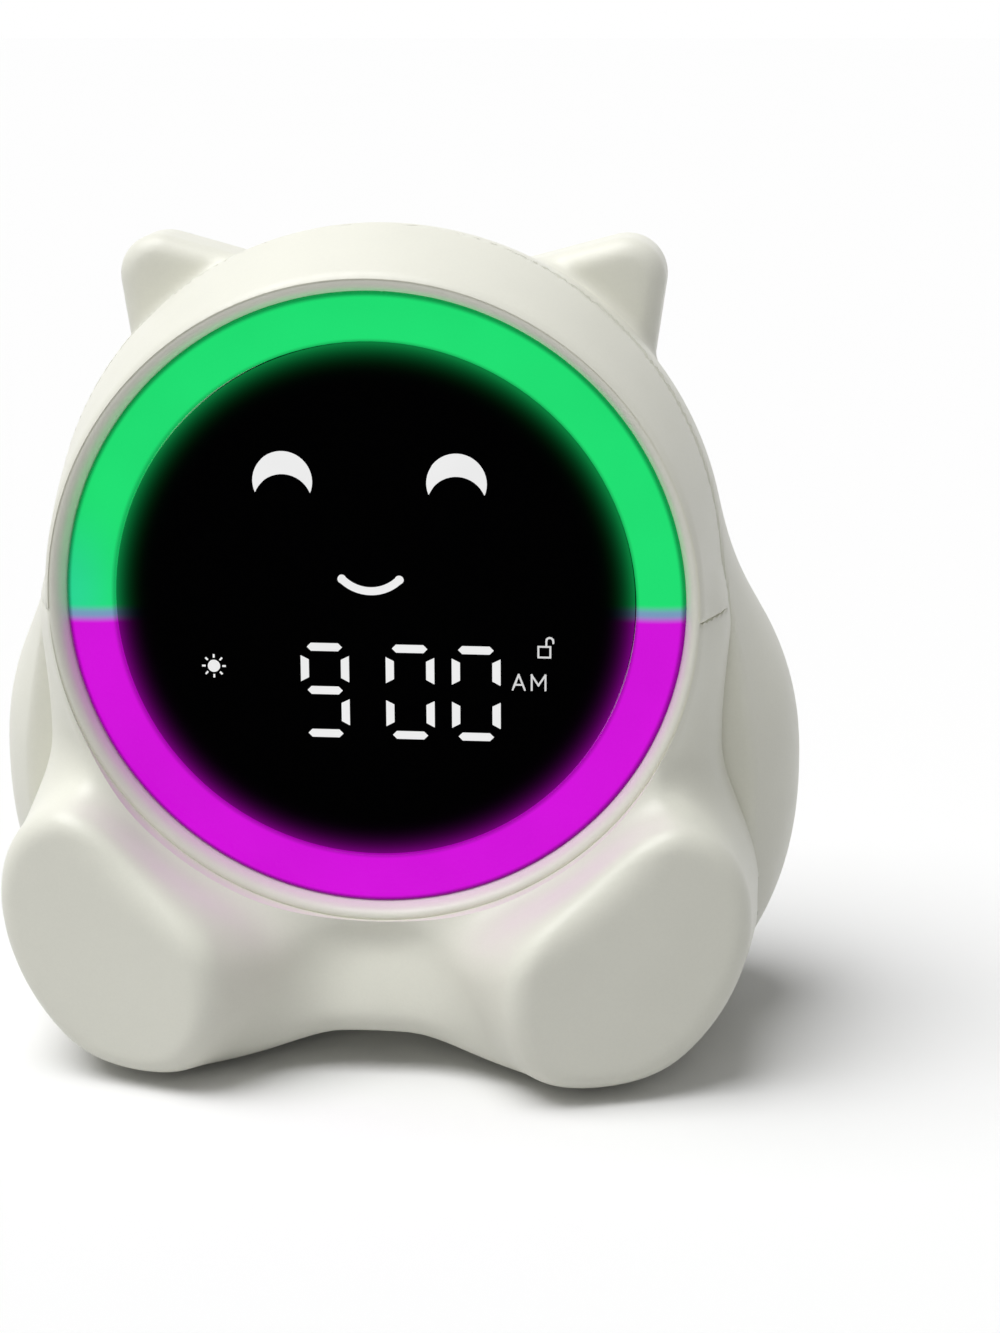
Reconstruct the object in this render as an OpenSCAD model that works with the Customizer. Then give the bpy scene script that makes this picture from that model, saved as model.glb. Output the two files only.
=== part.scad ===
// Kids alarm clock with a night-light ring, in the shape of a small sitting animal.
// The clock stands on the table plane z = 0, faces -Y, and its box is centred on x = 0, y = 0.

/* [Overall] */
// Height of the dial centre above the table
dial_h = 84.5; // [84:0.1:86]
// How far the soles stand in front of the dial
sole_reach = 22.5; // [21.5:0.1:24]
// How far the back plane lies behind the dial
back_depth = 64; // [62:0.5:68]
// Wall thickness of the moulded shells
wall = 2.4; // [1.8:0.1:2.8]
// Running gap between pieces that are seated in each other
gap = 0.3; // [0.2:0.05:0.35]

/* [Head] */
// Width of the pale rim round the light ring
rim_w = 2.9; // [2.8:0.1:3.2]
// How far the crest stands in front of the dial
crest_out = 4; // [3.5:0.1:5]
// Growth of the head's radius from crest to seam
head_flare = 4.4; // [4:0.1:5.5]
// How much the head's centre climbs from crest to seam
head_rise = 3; // [2:0.1:4]
// Depth of the parting plane between front and rear shells
seam_depth = 13; // [12:0.5:15]
// Height of the hood's lower lip, from the dial centre
hood_lip = -1.5; // [-4:0.1:2]
// How far the hood stands proud of the front shell
hood_proud = 0.3; // [0.1:0.1:0.8]
// Corner radius of the hood's lower rear corner
hood_corner = 5; // [3:0.5:7]

/* [Ears] */
// Distance of an ear's tip from the middle
ear_x = 41.3; // [38:0.1:43]
// Height of an ear's tip centre above the dial centre
ear_z = 52.6; // [50:0.1:55]
// Roundness of an ear
ear_r = 7.2; // [6:0.1:8]
// Depth of the ears behind the dial
ear_depth = 31; // [29:0.5:34]

/* [Torso and legs] */
// How far the waist stands out beyond the head's crest
waist_out = 3.5; // [2.5:0.1:5]
// Height of the arch between the legs, above the table
arch_h = 7; // [6:0.1:8]
// Distance of a sole's centre from the middle
sole_x = 46.4; // [45:0.1:48]
// Height of a sole's centre above the table
sole_h = 25.5; // [24.5:0.1:26.5]
// Turn of the soles to the outside
sole_turn = 17.8; // [10:0.1:24]
// Lean of a sole's long axis from the level
sole_lean = 55.7; // [45:0.1:70]
// Half length of a sole
sole_long = 25.2; // [24:0.1:26]
// Half width of a sole
sole_short = 18.8; // [17:0.1:20]
// Rounding of a sole's rim
sole_round = 3.8; // [3:0.1:5]

/* [Rear body] */
// Half width of the rear body
pear_w = 74.5; // [72:0.1:77]
// Half depth of the rear body
pear_d = 39; // [37:0.1:42]
// Height of its widest level above the table
pear_h = 48.5; // [46:0.1:52]
// Depth of its widest section behind the dial
pear_depth = 33; // [31:0.5:36]

/* [Dial] */
// Radius of the dark display
lens_r = 45.4; // [44:0.1:46]
// Width of the light ring
ring_w = 8.6; // [8.2:0.1:8.8]
// Thickness of the display lens
lens_t = 2.2; // [1.6:0.1:2.6]
// Height of the digits
digit_h = 17; // [15:0.1:18]
// Width of a digit
digit_w = 8.5; // [7.5:0.1:9.5]
// Stroke of a digit segment
digit_t = 1.4; // [1:0.1:1.6]
// Number of lamps behind the light ring
lamp_count = 24; // [12:4:24]

/* [Rear panel] */
// Width of the rear panel
panel_w = 76; // [74:1:80]
// Height of the rear panel
panel_h = 62; // [60:1:63]
// Thickness of the rear panel
panel_t = 2.4; // [2:0.1:3]
// Diameter of the push buttons
button_d = 9; // [7:0.1:10]
// Travel of the push buttons
button_travel = 0.8; // [0.4:0.1:0.9]

/* [Battery bay] */
// Diameter of a cell
cell_d = 10.5; // [10:0.1:10.8]
// Length of a cell
cell_l = 44.5; // [43:0.1:45]
// Number of cells
cell_count = 3; // [2:1:3]
// Width of the battery door
door_w = 54; // [52:1:58]
// Length of the battery door
door_l = 38; // [37:0.5:39]

/* [Hidden] */

shell_colour = "#efede4";
dark = "#0b0b0c";
board_green = "#1d5a35";
steel = "#b9bcc0";

// Every module below is drawn in the dial's own frame: x to the right, y to the back,
// z up, with the centre of the dial at zero. placed() sets it on the table.
button_out = 1.3;
dial_y = (sole_reach - back_depth - gap - button_out) / 2;
module placed() translate([0, dial_y, dial_h]) children();

ring_r = lens_r + ring_w;
crest_r = ring_r + rim_w;
waist_w = crest_r + waist_out;
foot_t = 0.9;
table_z = -dial_h;
under_z = table_z + foot_t;
panel_z = table_z + 48.5;
panel_r = 20;
panel_ledge = 3;
panel_corner = panel_r - (panel_r - 4.4) * cos(45);
back_y = back_depth;
hub = [0, seam_depth, -25];

// ---- Rounded forms, as levels: below zero inside the form, above zero outside ----
function clamp01(v) = min(1, max(0, v));
function ease(w) = w * w * (3 - 2 * w);
function blend_min(a, b, k) =
    let(h = max(k - abs(a - b), 0) / k) min(a, b) - h * h * k / 4;
function blend_max(a, b, k) = -blend_min(-a, -b, k);

rim_run = seam_depth + crest_out;
crest_round = 2;
head_end_r = crest_r + head_flare;
function head_level(p) =
    let(w = clamp01((p[1] + crest_out) / rim_run), e = w * (1.15 - 0.15 * w))
    blend_max((norm([p[0], p[2] - head_rise * e]) - crest_r - head_flare * e) * 0.96,
        -crest_out - p[1], crest_round);

torso_front = 1.8;
belly_out = 5.9;
belly_top = -55;
belly_run = 20;
torso_top = 5;
torso_r = 12;
waist_z = -28;
arch_curve = 0.0045;
waist_curve = 0.0012;
tuck_z = -54;
tuck = 0.02;
function torso_level(p) =
    let(front = -torso_front - belly_out * ease(clamp01((belly_top - p[2]) / belly_run)),
        side = waist_w + waist_curve * pow(p[2] - waist_z, 2) - tuck * pow(max(tuck_z - p[2], 0), 2),
        q = [abs(p[0]) - side + torso_r, front + torso_r - p[1], p[2] - torso_top + torso_r],
        box = norm([for (v = q) max(v, 0)]) - torso_r + min(max(q), 0),
        arch = (table_z + arch_h - arch_curve * p[0] * p[0] - p[2]) * 0.95)
    blend_max(box, arch, 5);

// A leg is a widening rod behind the flat egg of its sole
sole_dip = 5.34;
sole_c = [sole_x, sole_dip - sole_reach, sole_h - dial_h];
leg_grow_long = 0.3;
leg_grow_short = 0.42;
function leg_level(p) =
    let(q = [abs(p[0]), p[1], p[2]] - sole_c,
        t = q[1] * cos(sole_turn) - q[0] * sin(sole_turn),
        u = q[0] * cos(sole_turn) + q[1] * sin(sole_turn),
        s = u * cos(sole_lean) + q[2] * sin(sole_lean),
        c = q[2] * cos(sole_lean) - u * sin(sole_lean),
        n = norm([s / (sole_long + leg_grow_long * t), c / (sole_short + leg_grow_short * t)]))
    blend_max(norm([s, c]) * (1 - 1 / max(n, 0.01)), -t, sole_round);

neck_blend = 6;
leg_blend = 8;
under_round = 6;
function front_level(p) =
    blend_max(
        blend_min(blend_min(head_level(p), torso_level(p), neck_blend), leg_level(p), leg_blend),
        under_z - p[2], under_round);

// The rear body is a pear with a flat back; the nape joins it to the head
pear_c = [0, pear_depth, pear_h - dial_h];
pear_up = 64;
pear_n = 2.25;
nape_d = 46;
nape_blend = 14;
back_round = 9;
seat_round = 7;
function pear_level(p) =
    let(q = p - pear_c,
        n = pow(pow(abs(q[0]) / pear_w, pear_n) + pow(abs(q[1]) / pear_d, pear_n)
            + pow(abs(q[2]) / pear_up, pear_n), 1 / pear_n))
    norm(q) * (1 - 1 / max(n, 0.01));
function nape_level(p) =
    let(q = p - [0, seam_depth, head_rise],
        n = norm([q[0] / head_end_r, q[1] / nape_d, q[2] / head_end_r]))
    norm(q) * (1 - 1 / max(n, 0.01));
function rear_level(p) =
    blend_max(
        blend_max(blend_min(pear_level(p), nape_level(p), nape_blend), p[1] - back_y, back_round),
        under_z - p[2], seat_round);

// ---- A level's surface, found along rays that leave the hub in the parting plane ----
function ray(turn, tilt) = [sin(tilt) * cos(turn), -cos(tilt), sin(tilt) * sin(turn)];
function level(front, p) = front ? front_level(p) : rear_level(p);
function reach(front, inset, d, near = 0, far = 130, n = 16) =
    let(mid = (near + far) / 2)
    n == 0 ? mid
        : level(front, hub + mid * d) > -inset ? reach(front, inset, d, near, mid, n - 1)
        : reach(front, inset, d, mid, far, n - 1);

module half_form(front, inset, turns, tilts) {
    m = len(turns);
    rings = len(tilts);
    pole = ray(0, front ? 0 : 180);
    points = concat(
        [hub + reach(front, inset, pole) * pole],
        [for (tilt = tilts, turn = turns)
            let(d = ray(turn, front ? tilt : 180 - tilt)) hub + reach(front, inset, d) * d],
        [hub]);
    id = function(j, i) 1 + j * m + i % m;
    last = len(points) - 1;
    outward = concat(
        [for (i = [0:m - 1]) [0, id(0, i), id(0, i + 1)]],
        [for (j = [0:rings - 2], i = [0:m - 1])
            each [[id(j, i), id(j + 1, i), id(j + 1, i + 1)], [id(j, i), id(j + 1, i + 1), id(j, i + 1)]]],
        [for (i = [0:m - 1]) [last, id(rings - 1, i + 1), id(rings - 1, i)]]);
    polyhedron(points, front ? [for (f = outward) [f[2], f[1], f[0]]] : outward);
}

function spread(from, to, count) = [for (i = [0:count - 1]) from + (to - from) * i / count];
front_turns = concat(spread(0, 180, 12), spread(180, 360, 116));
hood_turns = concat(spread(-8, 188, 64), spread(188, 352, 10));
rear_turns = spread(0, 360, 72);
lining_turns = spread(0, 360, 40);
front_tilts = [
    20, 36, 43, 47, 50, 53, 55.5, 58, 60, 62, 64, 66, 67.5, 69, 70.5, 72, 73.5, 75, 77, 79.5, 82, 85, 90
];
hood_tilts = [30, 60, 74, 76, 77.5, 79, 81, 83.5, 86, 90];
rear_tilts = [12, 24, 34, 41, 46, 50, 54, 60, 66, 72, 78, 84, 90];
lining_tilts = [16, 32, 42, 50, 58, 66, 74, 82, 90];

// ---- Helpers ----
module facing(depth) translate([0, depth, 0]) rotate([90, 0, 0]) children();
module behind(depth) translate([0, depth, 0]) rotate([-90, 0, 0]) children();
module rod(x, z, r, from, to)
    translate([x, from, z]) rotate([-90, 0, 0]) cylinder(r = r, h = to - from, $fn = 48);
module disc(r, from, to) behind(from) cylinder(r = r, h = to - from, $fn = 160);
module plate(x0, x1, y0, y1, z0, z1) translate([x0, y0, z0]) cube([x1 - x0, y1 - y0, z1 - z0]);
module revolved() rotate([90, 0, 0]) rotate_extrude($fn = 160) children();
module round_rect(w, h, r) {
    square([w - 2 * r, h], center = true);
    square([w, h - 2 * r], center = true);
    for (x = [-1, 1], y = [-1, 1]) translate([x * (w / 2 - r), y * (h / 2 - r)]) circle(r, $fn = 48);
}
module ring_of(count, r)
    for (i = [0:count - 1]) rotate([0, 360 * i / count, 0]) translate([r, 0, 0]) children();

// ---- Fits shared by several pieces ----
bezel_r = crest_r - 0.2;
bore_r = bezel_r + gap;
bore_wall = 1.8;
bezel_wall = 1.9;
bezel_in = bezel_r - bezel_wall;
bezel_lip_t = 1.2;
flange_r = bezel_r + 1;
flange_t = 1.5;
pilot_l = 5;
chassis_t = 2.4;
chassis_y = seam_depth + 0.1;
chassis_r = bore_r + 1;
main_y = chassis_y + chassis_t + 5;
board_t = 1.6;
front_board_y = chassis_y - 0.1 - board_t - 0.8;
reflector_y = bezel_lip_t + 2;
shield_y = lens_t + 1.2;
lamp_ring_r = (ring_r + lens_r) / 2;
lamp_w = 5;
lamp_t = 1.6;

top_screws = [for (s = [-1, 1]) [s * 18, (bore_r + head_end_r + head_rise) / 2 - 3]];
low_screws = [for (s = [-1, 1]) [s * 46, 32.5 - dial_h]];
screw_r = 1.4;
head_r = 2.6;
post_r = 4;
panel_screw_x = panel_w / 2 - panel_corner;
panel_screw_z = panel_h / 2 - panel_corner;
panel_screws_at = [for (x = [-1, 1], z = [-1, 1]) [x * panel_screw_x, panel_z + z * panel_screw_z]];
dial_screws_at = [for (a = [22.5:90:359]) [lamp_ring_r * cos(a), lamp_ring_r * sin(a)]];
main_w = 62;
main_h = 46;
main_z = 2;
main_edge = 5;
board_screws_at = [for (x = [-1, 1], z = [-1, 1])
    [x * (main_w / 2 - main_edge), main_z + z * (main_h / 2 - main_edge)]];

// ---- Front mouldings ----
module hood_side(grow) {
    edge = seam_depth + grow;
    low = hood_lip - grow;
    r = hood_corner + grow;
    rotate([90, 0, 90]) translate([0, 0, -90]) linear_extrude(180) {
        translate([-30, low]) square([30 + edge - r, 90]);
        translate([-30, low + r]) square([30 + edge, 90]);
        translate([edge - r, low + r]) circle(r, $fn = 48);
    }
}

pad_r = 4.5;
pad_x = 35;
pad_sunk = 0.4;
leg_pad_y = 1.5;
rear_pad_y = 43;
module pads(y, grow) for (s = [-1, 1]) translate([s * pad_x, y, table_z])
    cylinder(r = pad_r + grow, h = foot_t + pad_sunk + grow, $fn = 48);

// The legs roll away round the dial: a trumpet in front of the crest, wider by grow
roll_clear = 1.2;
roll_r = 8;
roll_y = 10.5;
roll_end = 60;
front_most = 2 * sole_reach;
module dial_roll(grow) {
    r = roll_r - grow;
    arc = [for (a = [0:10:roll_end])
        [crest_r + roll_clear + roll_r - r * cos(a), roll_y + r * sin(a)]];
    last = arc[len(arc) - 1];
    revolved() polygon(concat(
        [[0, crest_out - 1], [arc[0][0], crest_out - 1]], arc,
        [[last[0] + (front_most - last[1]) * tan(roll_end), front_most], [0, front_most]]));
}

module front_shell() color(shell_colour) difference() {
    union() {
        difference() {
            half_form(true, 0, front_turns, front_tilts);
            difference() {
                half_form(true, wall, lining_turns, lining_tilts);
                disc(bore_r + bore_wall, -front_most, front_most);
                dial_roll(wall);
            }
            hood_side(gap);
            dial_roll(0);
        }
        for (p = low_screws) rod(p[0], p[1], post_r, sole_c[1] + 1.7, seam_depth);
    }
    disc(bore_r, -front_most, front_most);
    disc(flange_r + gap, seam_depth - flange_t - gap, 30);
    for (p = low_screws) rod(p[0], p[1], 1.1, 2, seam_depth + 1);
    pads(leg_pad_y, 0.1);
}

module head_hood() color(shell_colour) difference() {
    intersection() {
        half_form(true, -hood_proud, hood_turns, hood_tilts);
        hood_side(0);
    }
    disc(bore_r, -30, 30);
    for (p = top_screws) rod(p[0], p[1], 1.1, seam_depth - pilot_l, seam_depth + 1);
    disc(flange_r + gap, seam_depth - flange_t - gap, 30);
}

module ear(side) hull() {
    translate([side * ear_x, ear_depth, ear_z]) sphere(ear_r, $fn = 32);
    translate([side * (ear_x - 11.5), ear_depth - 2, ear_z - 5.4]) sphere(ear_r + 0.8, $fn = 32);
    translate([side * (ear_x - 1.5), ear_depth - 2, ear_z - 14]) sphere(ear_r + 0.8, $fn = 32);
}

// The front mouldings' outline in the parting plane
module seam_outline(inset) polygon([for (turn = spread(0, 360, 72))
    let(d = ray(turn, 90), k = reach(true, inset, d)) [hub[0] + k * d[0], hub[2] + k * d[2]]]);

bay_y = 33.6;
bay_margin = 1.6;
bay_wall = 1.2;
bay_h = cell_d + 1.6;
bay_w = cell_l + 7;
cell_gap = 0.2;
bay_d = cell_count * (cell_d + cell_gap) - cell_gap + 0.8 + 2 * bay_wall;
floor_t = 3.3;
door_t = 1.5;
tongue = 1.2;
module panel_outline(grow) round_rect(panel_w + 2 * grow, panel_h + 2 * grow, panel_r + grow);

module rear_shell() color(shell_colour) translate([0, gap, 0]) difference() {
    union() {
        difference() {
            union() {
                half_form(false, 0, rear_turns, rear_tilts);
                for (s = [-1, 1]) ear(s);
            }
            difference() {
                half_form(false, wall, lining_turns, lining_tilts);
                plate(-90, 90, 0, seam_depth + wall, -90, 90);
            }
            facing(seam_depth + wall + 1) linear_extrude(wall + 2) seam_outline(wall + gap);
        }
        for (p = top_screws) rod(p[0], p[1], 3.2, seam_depth, 26);
        for (p = low_screws) rod(p[0], p[1], post_r, seam_depth + chassis_t + 0.4, back_y - 1.5);
        translate([0, 0, panel_z]) facing(back_y - 1) linear_extrude(3.6) difference() {
            panel_outline(3);
            panel_outline(-2 * panel_ledge);
        }
        plate(-door_w / 2 - 4, door_w / 2 + 4, bay_y - door_l / 2 - bay_margin, bay_y + door_l / 2 + 2,
            under_z + 0.6, under_z + floor_t);
    }
    translate([0, 0, panel_z]) facing(back_y + 1) linear_extrude(panel_t + 1.2) panel_outline(gap);
    translate([0, 0, panel_z]) facing(back_y) linear_extrude(8) difference() {
        panel_outline(-panel_ledge);
        for (p = panel_screws_at) translate([p[0], p[1] - panel_z]) circle(3, $fn = 48);
    }
    for (p = top_screws) {
        rod(p[0], p[1], screw_r, seam_depth - 1, 40);
        rod(p[0], p[1], head_r + 0.3, seam_depth + 4, 40);
    }
    for (p = low_screws) {
        rod(p[0], p[1], screw_r, seam_depth - 1, back_y + 1);
        rod(p[0], p[1], head_r + 0.3, seam_depth + 7, back_y + 1);
    }
    for (p = panel_screws_at) rod(p[0], p[1], 0.9, back_y - 4.2, back_y);
    plate(-door_w / 2 - gap, door_w / 2 + gap, bay_y - door_l / 2 - gap, back_y + 2,
        under_z - 1, under_z + door_t + gap);
    plate(-door_w / 2 - tongue - gap, door_w / 2 + tongue + gap, bay_y - door_l / 2 - gap, back_y + 2,
        under_z + 0.6, under_z + door_t + gap);
    plate(bay_wall - bay_w / 2, bay_w / 2 - bay_wall,
        bay_y - bay_d / 2 + bay_wall, bay_y + bay_d / 2 - bay_wall,
        under_z, under_z + floor_t + 1);
    pads(rear_pad_y - gap, 0.1);
}

// ---- Dial ----
module bezel_ring() color(shell_colour) difference() {
    revolved() polygon([
        [flange_r, 0.2 - seam_depth], [flange_r, flange_t - seam_depth], [bezel_r, flange_t - seam_depth],
        [bezel_r, crest_out - 0.5], [bezel_r - 0.2, crest_out - 0.1], [bezel_r - 0.55, crest_out + 0.1],
        [bezel_r - 0.95, crest_out - 0.1], [bezel_r - 1.15, crest_out - 0.5],
        [ring_r + 0.35, 0.2], [ring_r + 0.2, -0.2], [ring_r + 0.2, -bezel_lip_t],
        [bezel_in, -bezel_lip_t], [bezel_in, 0.2 - seam_depth]
    ]);
}

module light_diffuser() color("#e8f7ef") {
    inner = lens_r + gap;
    mid = (inner + ring_r) / 2;
    half = (ring_r - inner) / 2;
    revolved() polygon(concat(
        [for (a = [0:15:180]) [mid + half * cos(a), 0.15 + 0.75 * sin(a)]],
        [[inner, -bezel_lip_t - 1.8], [bezel_in - 0.2, -bezel_lip_t - 1.8],
            [bezel_in - 0.2, -bezel_lip_t - 0.2], [ring_r, -bezel_lip_t - 0.2]]));
}

// A figure has seven bars: 0 top, 1 and 2 right, 3 bottom, 4 and 5 left, 6 middle
flat_l = 6.2;
side_l = 4.7;
side_slant = 0.75;
module flat_bar(grow) {
    half = flat_l / 2 + grow;
    t = digit_t / 2 + grow;
    polygon([[-half, 0], [t - half, t], [half - t, t], [half, 0], [half - t, -t], [t - half, -t]]);
}
module side_bar(grow) {
    half = side_l / 2 + grow;
    t = digit_t / 2 + grow;
    polygon([[t, -half], [t, half], [-t, half - side_slant], [-t, side_slant - half]]);
}
module figure(bars, grow = 0) {
    w = (digit_w - digit_t) / 2;
    h = (digit_h - digit_t) / 2;
    for (b = bars) {
        if (b % 3 == 0) translate([0, b == 0 ? h : b == 3 ? -h : 0]) flat_bar(grow);
        else mirror([b > 3 ? 1 : 0, 0]) translate([w, b == 1 || b == 5 ? h / 2 : -h / 2]) side_bar(grow);
    }
}
marks_x = -0.4;
eye_x = 15.1;
eye_z = 21.45;
eye_r = 5.2;
eye_shift = 3.97;
mouth_z = 9.4;
mouth_r = 7.1;
mouth_half = 45;
mouth_stroke = 0.68;
figures_z = -15.65;
figures_x = [-8.3, 6.7, 18.3];
sun_at = [-28, -11.7];
lock_at = [30.2, -7.9];
am_at = [27.6, -13.4];
sign_t = 0.28;
module eye(grow) difference() {
    circle(eye_r + grow, $fn = 64);
    translate([0, -eye_shift]) circle(eye_r - grow, $fn = 64);
}
module mouth(grow) {
    stroke = mouth_stroke + grow;
    side = 2 * mouth_r;
    rotate(-90 - mouth_half) intersection() {
        difference() {
            circle(mouth_r + stroke, $fn = 96);
            circle(mouth_r - stroke, $fn = 96);
        }
        polygon([[0, 0], [side, 0], [side, side], side * [cos(2 * mouth_half), sin(2 * mouth_half)]]);
    }
    for (s = [-1, 1])
        translate(mouth_r * [s * sin(mouth_half), -cos(mouth_half)]) circle(1.1 * stroke, $fn = 32);
}
module sun_mark(grow) {
    circle(1.08 + grow, $fn = 32);
    for (a = [0:45:315])
        rotate(a) translate([1.8, 0]) square([0.6 + 2 * grow, 0.3 + 2 * grow], center = true);
}
// A line of thickness t through the points of a small sign
module stroke(a, b, t)
    translate(a) rotate(atan2(b[1] - a[1], b[0] - a[0]))
        translate([-t / 2, -t / 2]) square([norm(b - a) + t, t]);
module lines(points, t) for (i = [1:len(points) - 1]) stroke(points[i - 1], points[i], t);
module padlock_mark(grow) {
    w = 1.04;
    h = 0.95;
    r = 0.6;
    t = sign_t + 2 * grow;
    bend = [for (a = [0:30:180]) [r - r * cos(a), h + 1 + r * sin(a)]];
    lines([[-w, -h], [w, -h], [w, h], [-w, h], [-w, -h]], t);
    translate([0.35, 0]) lines(concat([[0, h]], bend, [[2 * r, h + 0.7]]), t);
}
module am_mark(grow) {
    h = 1.33;
    t = sign_t + 2 * grow;
    lines([[-2.9, -h], [-1.85, h], [-0.8, -h]], t);
    lines([[-2.5, -0.45], [-1.2, -0.45]], t);
    lines([[0.4, -h], [0.4, h], [1.6, -0.5], [2.8, h], [2.8, -h]], t);
}
module face_marks(grow = 0) translate([marks_x, 0]) {
    for (s = [-1, 1]) translate([s * eye_x, eye_z]) eye(grow);
    translate([0, mouth_z]) mouth(grow);
    translate([figures_x[0], figures_z]) figure([0, 1, 2, 3, 5, 6], grow);
    translate([figures_x[1], figures_z]) figure([0, 1, 2, 3, 4, 5], grow);
    translate([figures_x[2], figures_z]) figure([0, 1, 2, 3, 4, 5], grow);
    translate(sun_at) sun_mark(grow);
    translate(lock_at) padlock_mark(grow);
    translate(am_at) am_mark(grow);
}

module display_lens() color(dark) facing(lens_t - 0.3) difference() {
    linear_extrude(lens_t) circle(lens_r, $fn = 160);
    translate([0, 0, -1]) linear_extrude(lens_t + 2) face_marks(0.05);
}

module icon_guide() color("white") facing(lens_t + 0.8) {
    linear_extrude(1) circle(lens_r - 1, $fn = 120);
    translate([0, 0, 0.9]) linear_extrude(lens_t + 0.2) face_marks();
}

module light_shield() color("#202124") difference() {
    disc(lens_r - 0.2, shield_y, front_board_y - 0.1);
    facing(front_board_y + 1) linear_extrude(seam_depth) translate([marks_x, 0]) {
        for (s = [-1, 1]) translate([s * eye_x, eye_z]) circle(eye_r - 0.4, $fn = 48);
        translate([0, mouth_z - 6]) square([13, 6], center = true);
        for (x = figures_x) translate([x, figures_z]) figure([0:6], 0.3);
        translate(sun_at) circle(2.6, $fn = 32);
        translate((lock_at + am_at) / 2) square([8, 9.6], center = true);
    }
}

module ring_reflector() color("#f4f4f2") difference() {
    union() {
        revolved() polygon([
            [lens_r + 0.1, -reflector_y], [lens_r + 1.3, -reflector_y],
            [lens_r + 1.9, 1.1 - front_board_y], [ring_r - 1.3, 1.1 - front_board_y],
            [ring_r - 0.7, -reflector_y], [ring_r + 0.5, -reflector_y],
            [ring_r + 0.5, 0.1 - front_board_y], [lens_r + 0.1, 0.1 - front_board_y]
        ]);
        for (p = dial_screws_at) rod(p[0], p[1], 2.2, front_board_y - 5, front_board_y - 0.1);
    }
    for (p = dial_screws_at) rod(p[0], p[1], 0.95, front_board_y - 4, front_board_y);
    ring_of(lamp_count, lamp_ring_r) cube([lamp_w + 0.6, 2 * seam_depth, lamp_w + 0.6], center = true);
}

module front_board() color(board_green) difference() {
    disc(bezel_in - 0.3, front_board_y, front_board_y + board_t);
    for (p = dial_screws_at) rod(p[0], p[1], 1.2, front_board_y - 1, front_board_y + 4);
}

module ring_lamps() color("#fbfbf4") ring_of(lamp_count, lamp_ring_r)
    translate([0, front_board_y - lamp_t / 2, 0]) cube([lamp_w, lamp_t, lamp_w], center = true);

module chip_lamp(x, z) translate([x, z]) square([1.6, 0.8], center = true);
module display_lamps() color("#fbfbe0") facing(front_board_y) linear_extrude(0.8) translate([marks_x, 0]) {
    for (s = [-1, 1], dx = [-2.4, 0, 2.4]) chip_lamp(s * eye_x + dx, eye_z + 1.6);
    for (dx = [-3.6, 0, 3.6]) chip_lamp(dx, mouth_z - 6);
    for (x = figures_x, s = [-1, 0, 1]) chip_lamp(x, figures_z + s * (digit_h - digit_t) / 2);
    for (x = figures_x, s = [-1, 1], v = [-1, 1])
        chip_lamp(x + s * (digit_w - digit_t) / 2, figures_z + v * (digit_h - digit_t) / 4);
    for (p = [sun_at, lock_at, am_at]) chip_lamp(p[0], p[1]);
}

module face_chassis() color("#dcdcd6") difference() {
    union() {
        disc(chassis_r, chassis_y, chassis_y + chassis_t);
        for (p = low_screws) {
            rod(p[0], p[1], post_r, chassis_y, chassis_y + chassis_t);
            hull() for (k = [0.7, 1]) translate([p[0] * k, chassis_y + chassis_t / 2, p[1] * k])
                cube([2 * post_r, chassis_t, 2 * post_r], center = true);
        }
        for (p = board_screws_at) rod(p[0], p[1], 3, chassis_y + chassis_t - 0.1, main_y);
    }
    for (p = low_screws) rod(p[0], p[1], screw_r, 0, main_y);
    for (p = top_screws) rod(p[0], p[1], 3.2 + gap, 0, main_y);
    for (p = board_screws_at) rod(p[0], p[1], 0.9, chassis_y + chassis_t, main_y + 1);
    for (p = dial_screws_at) rod(p[0], p[1], 1.2, 0, main_y);
    rod(0, -30, 6, 0, main_y);
}

// ---- Boards behind the dial ----
module main_board() color(board_green) difference() {
    plate(-main_w / 2, main_w / 2, main_y, main_y + board_t, main_z - main_h / 2, main_z + main_h / 2);
    for (p = board_screws_at) rod(p[0], p[1], 1.2, main_y - 1, main_y + 4);
}
module board_chips() color("#2b2b2e") {
    y = main_y + board_t;
    plate(-7, 7, y, y + 1.6, -6, 8);
    plate(12, 20, y, y + 1.5, 2, 8);
    plate(-20, -12, y, y + 2.5, 8, 13);
    plate(-19, -14, y, y + 1.2, -10, -5);
    for (x = [10, 17]) rod(x, -9, 2.5, y, y + 6);
}

// ---- Rear panel, its buttons and sockets ----
panel_out = back_y + gap;
panel_in = panel_out - panel_t;
button_rows = [18, 5];
button_board_w = 60;
button_board_h = 23;
key_mark_depth = 0.3;
socket_w = 6.4;
socket_h = 3.8;
socket_post = 9.7;
socket_post_t = 2.4;
speaker_rim = 1.5;
button_pitch = 20;
buttons_at = [for (z = button_rows, x = [-1, 0, 1]) [x * button_pitch, panel_z + z]];
speaker_at = [-15, panel_z - 13.5];
speaker_r = 11.5;
socket_at = [17, panel_z - 14];
switch_h = 3.8;
board_post_x = 11;
board_post_z = panel_z + 11.5;
stem_y = panel_in - gap - 3;
button_board_y = stem_y - button_travel - 0.3 - switch_h - board_t;

// A slot with round ends; w is the distance between their centres
module slot(w, h) {
    square([w, h], center = true);
    for (s = [-1, 1]) translate([s * w / 2, 0]) circle(h / 2, $fn = 48);
}

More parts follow.
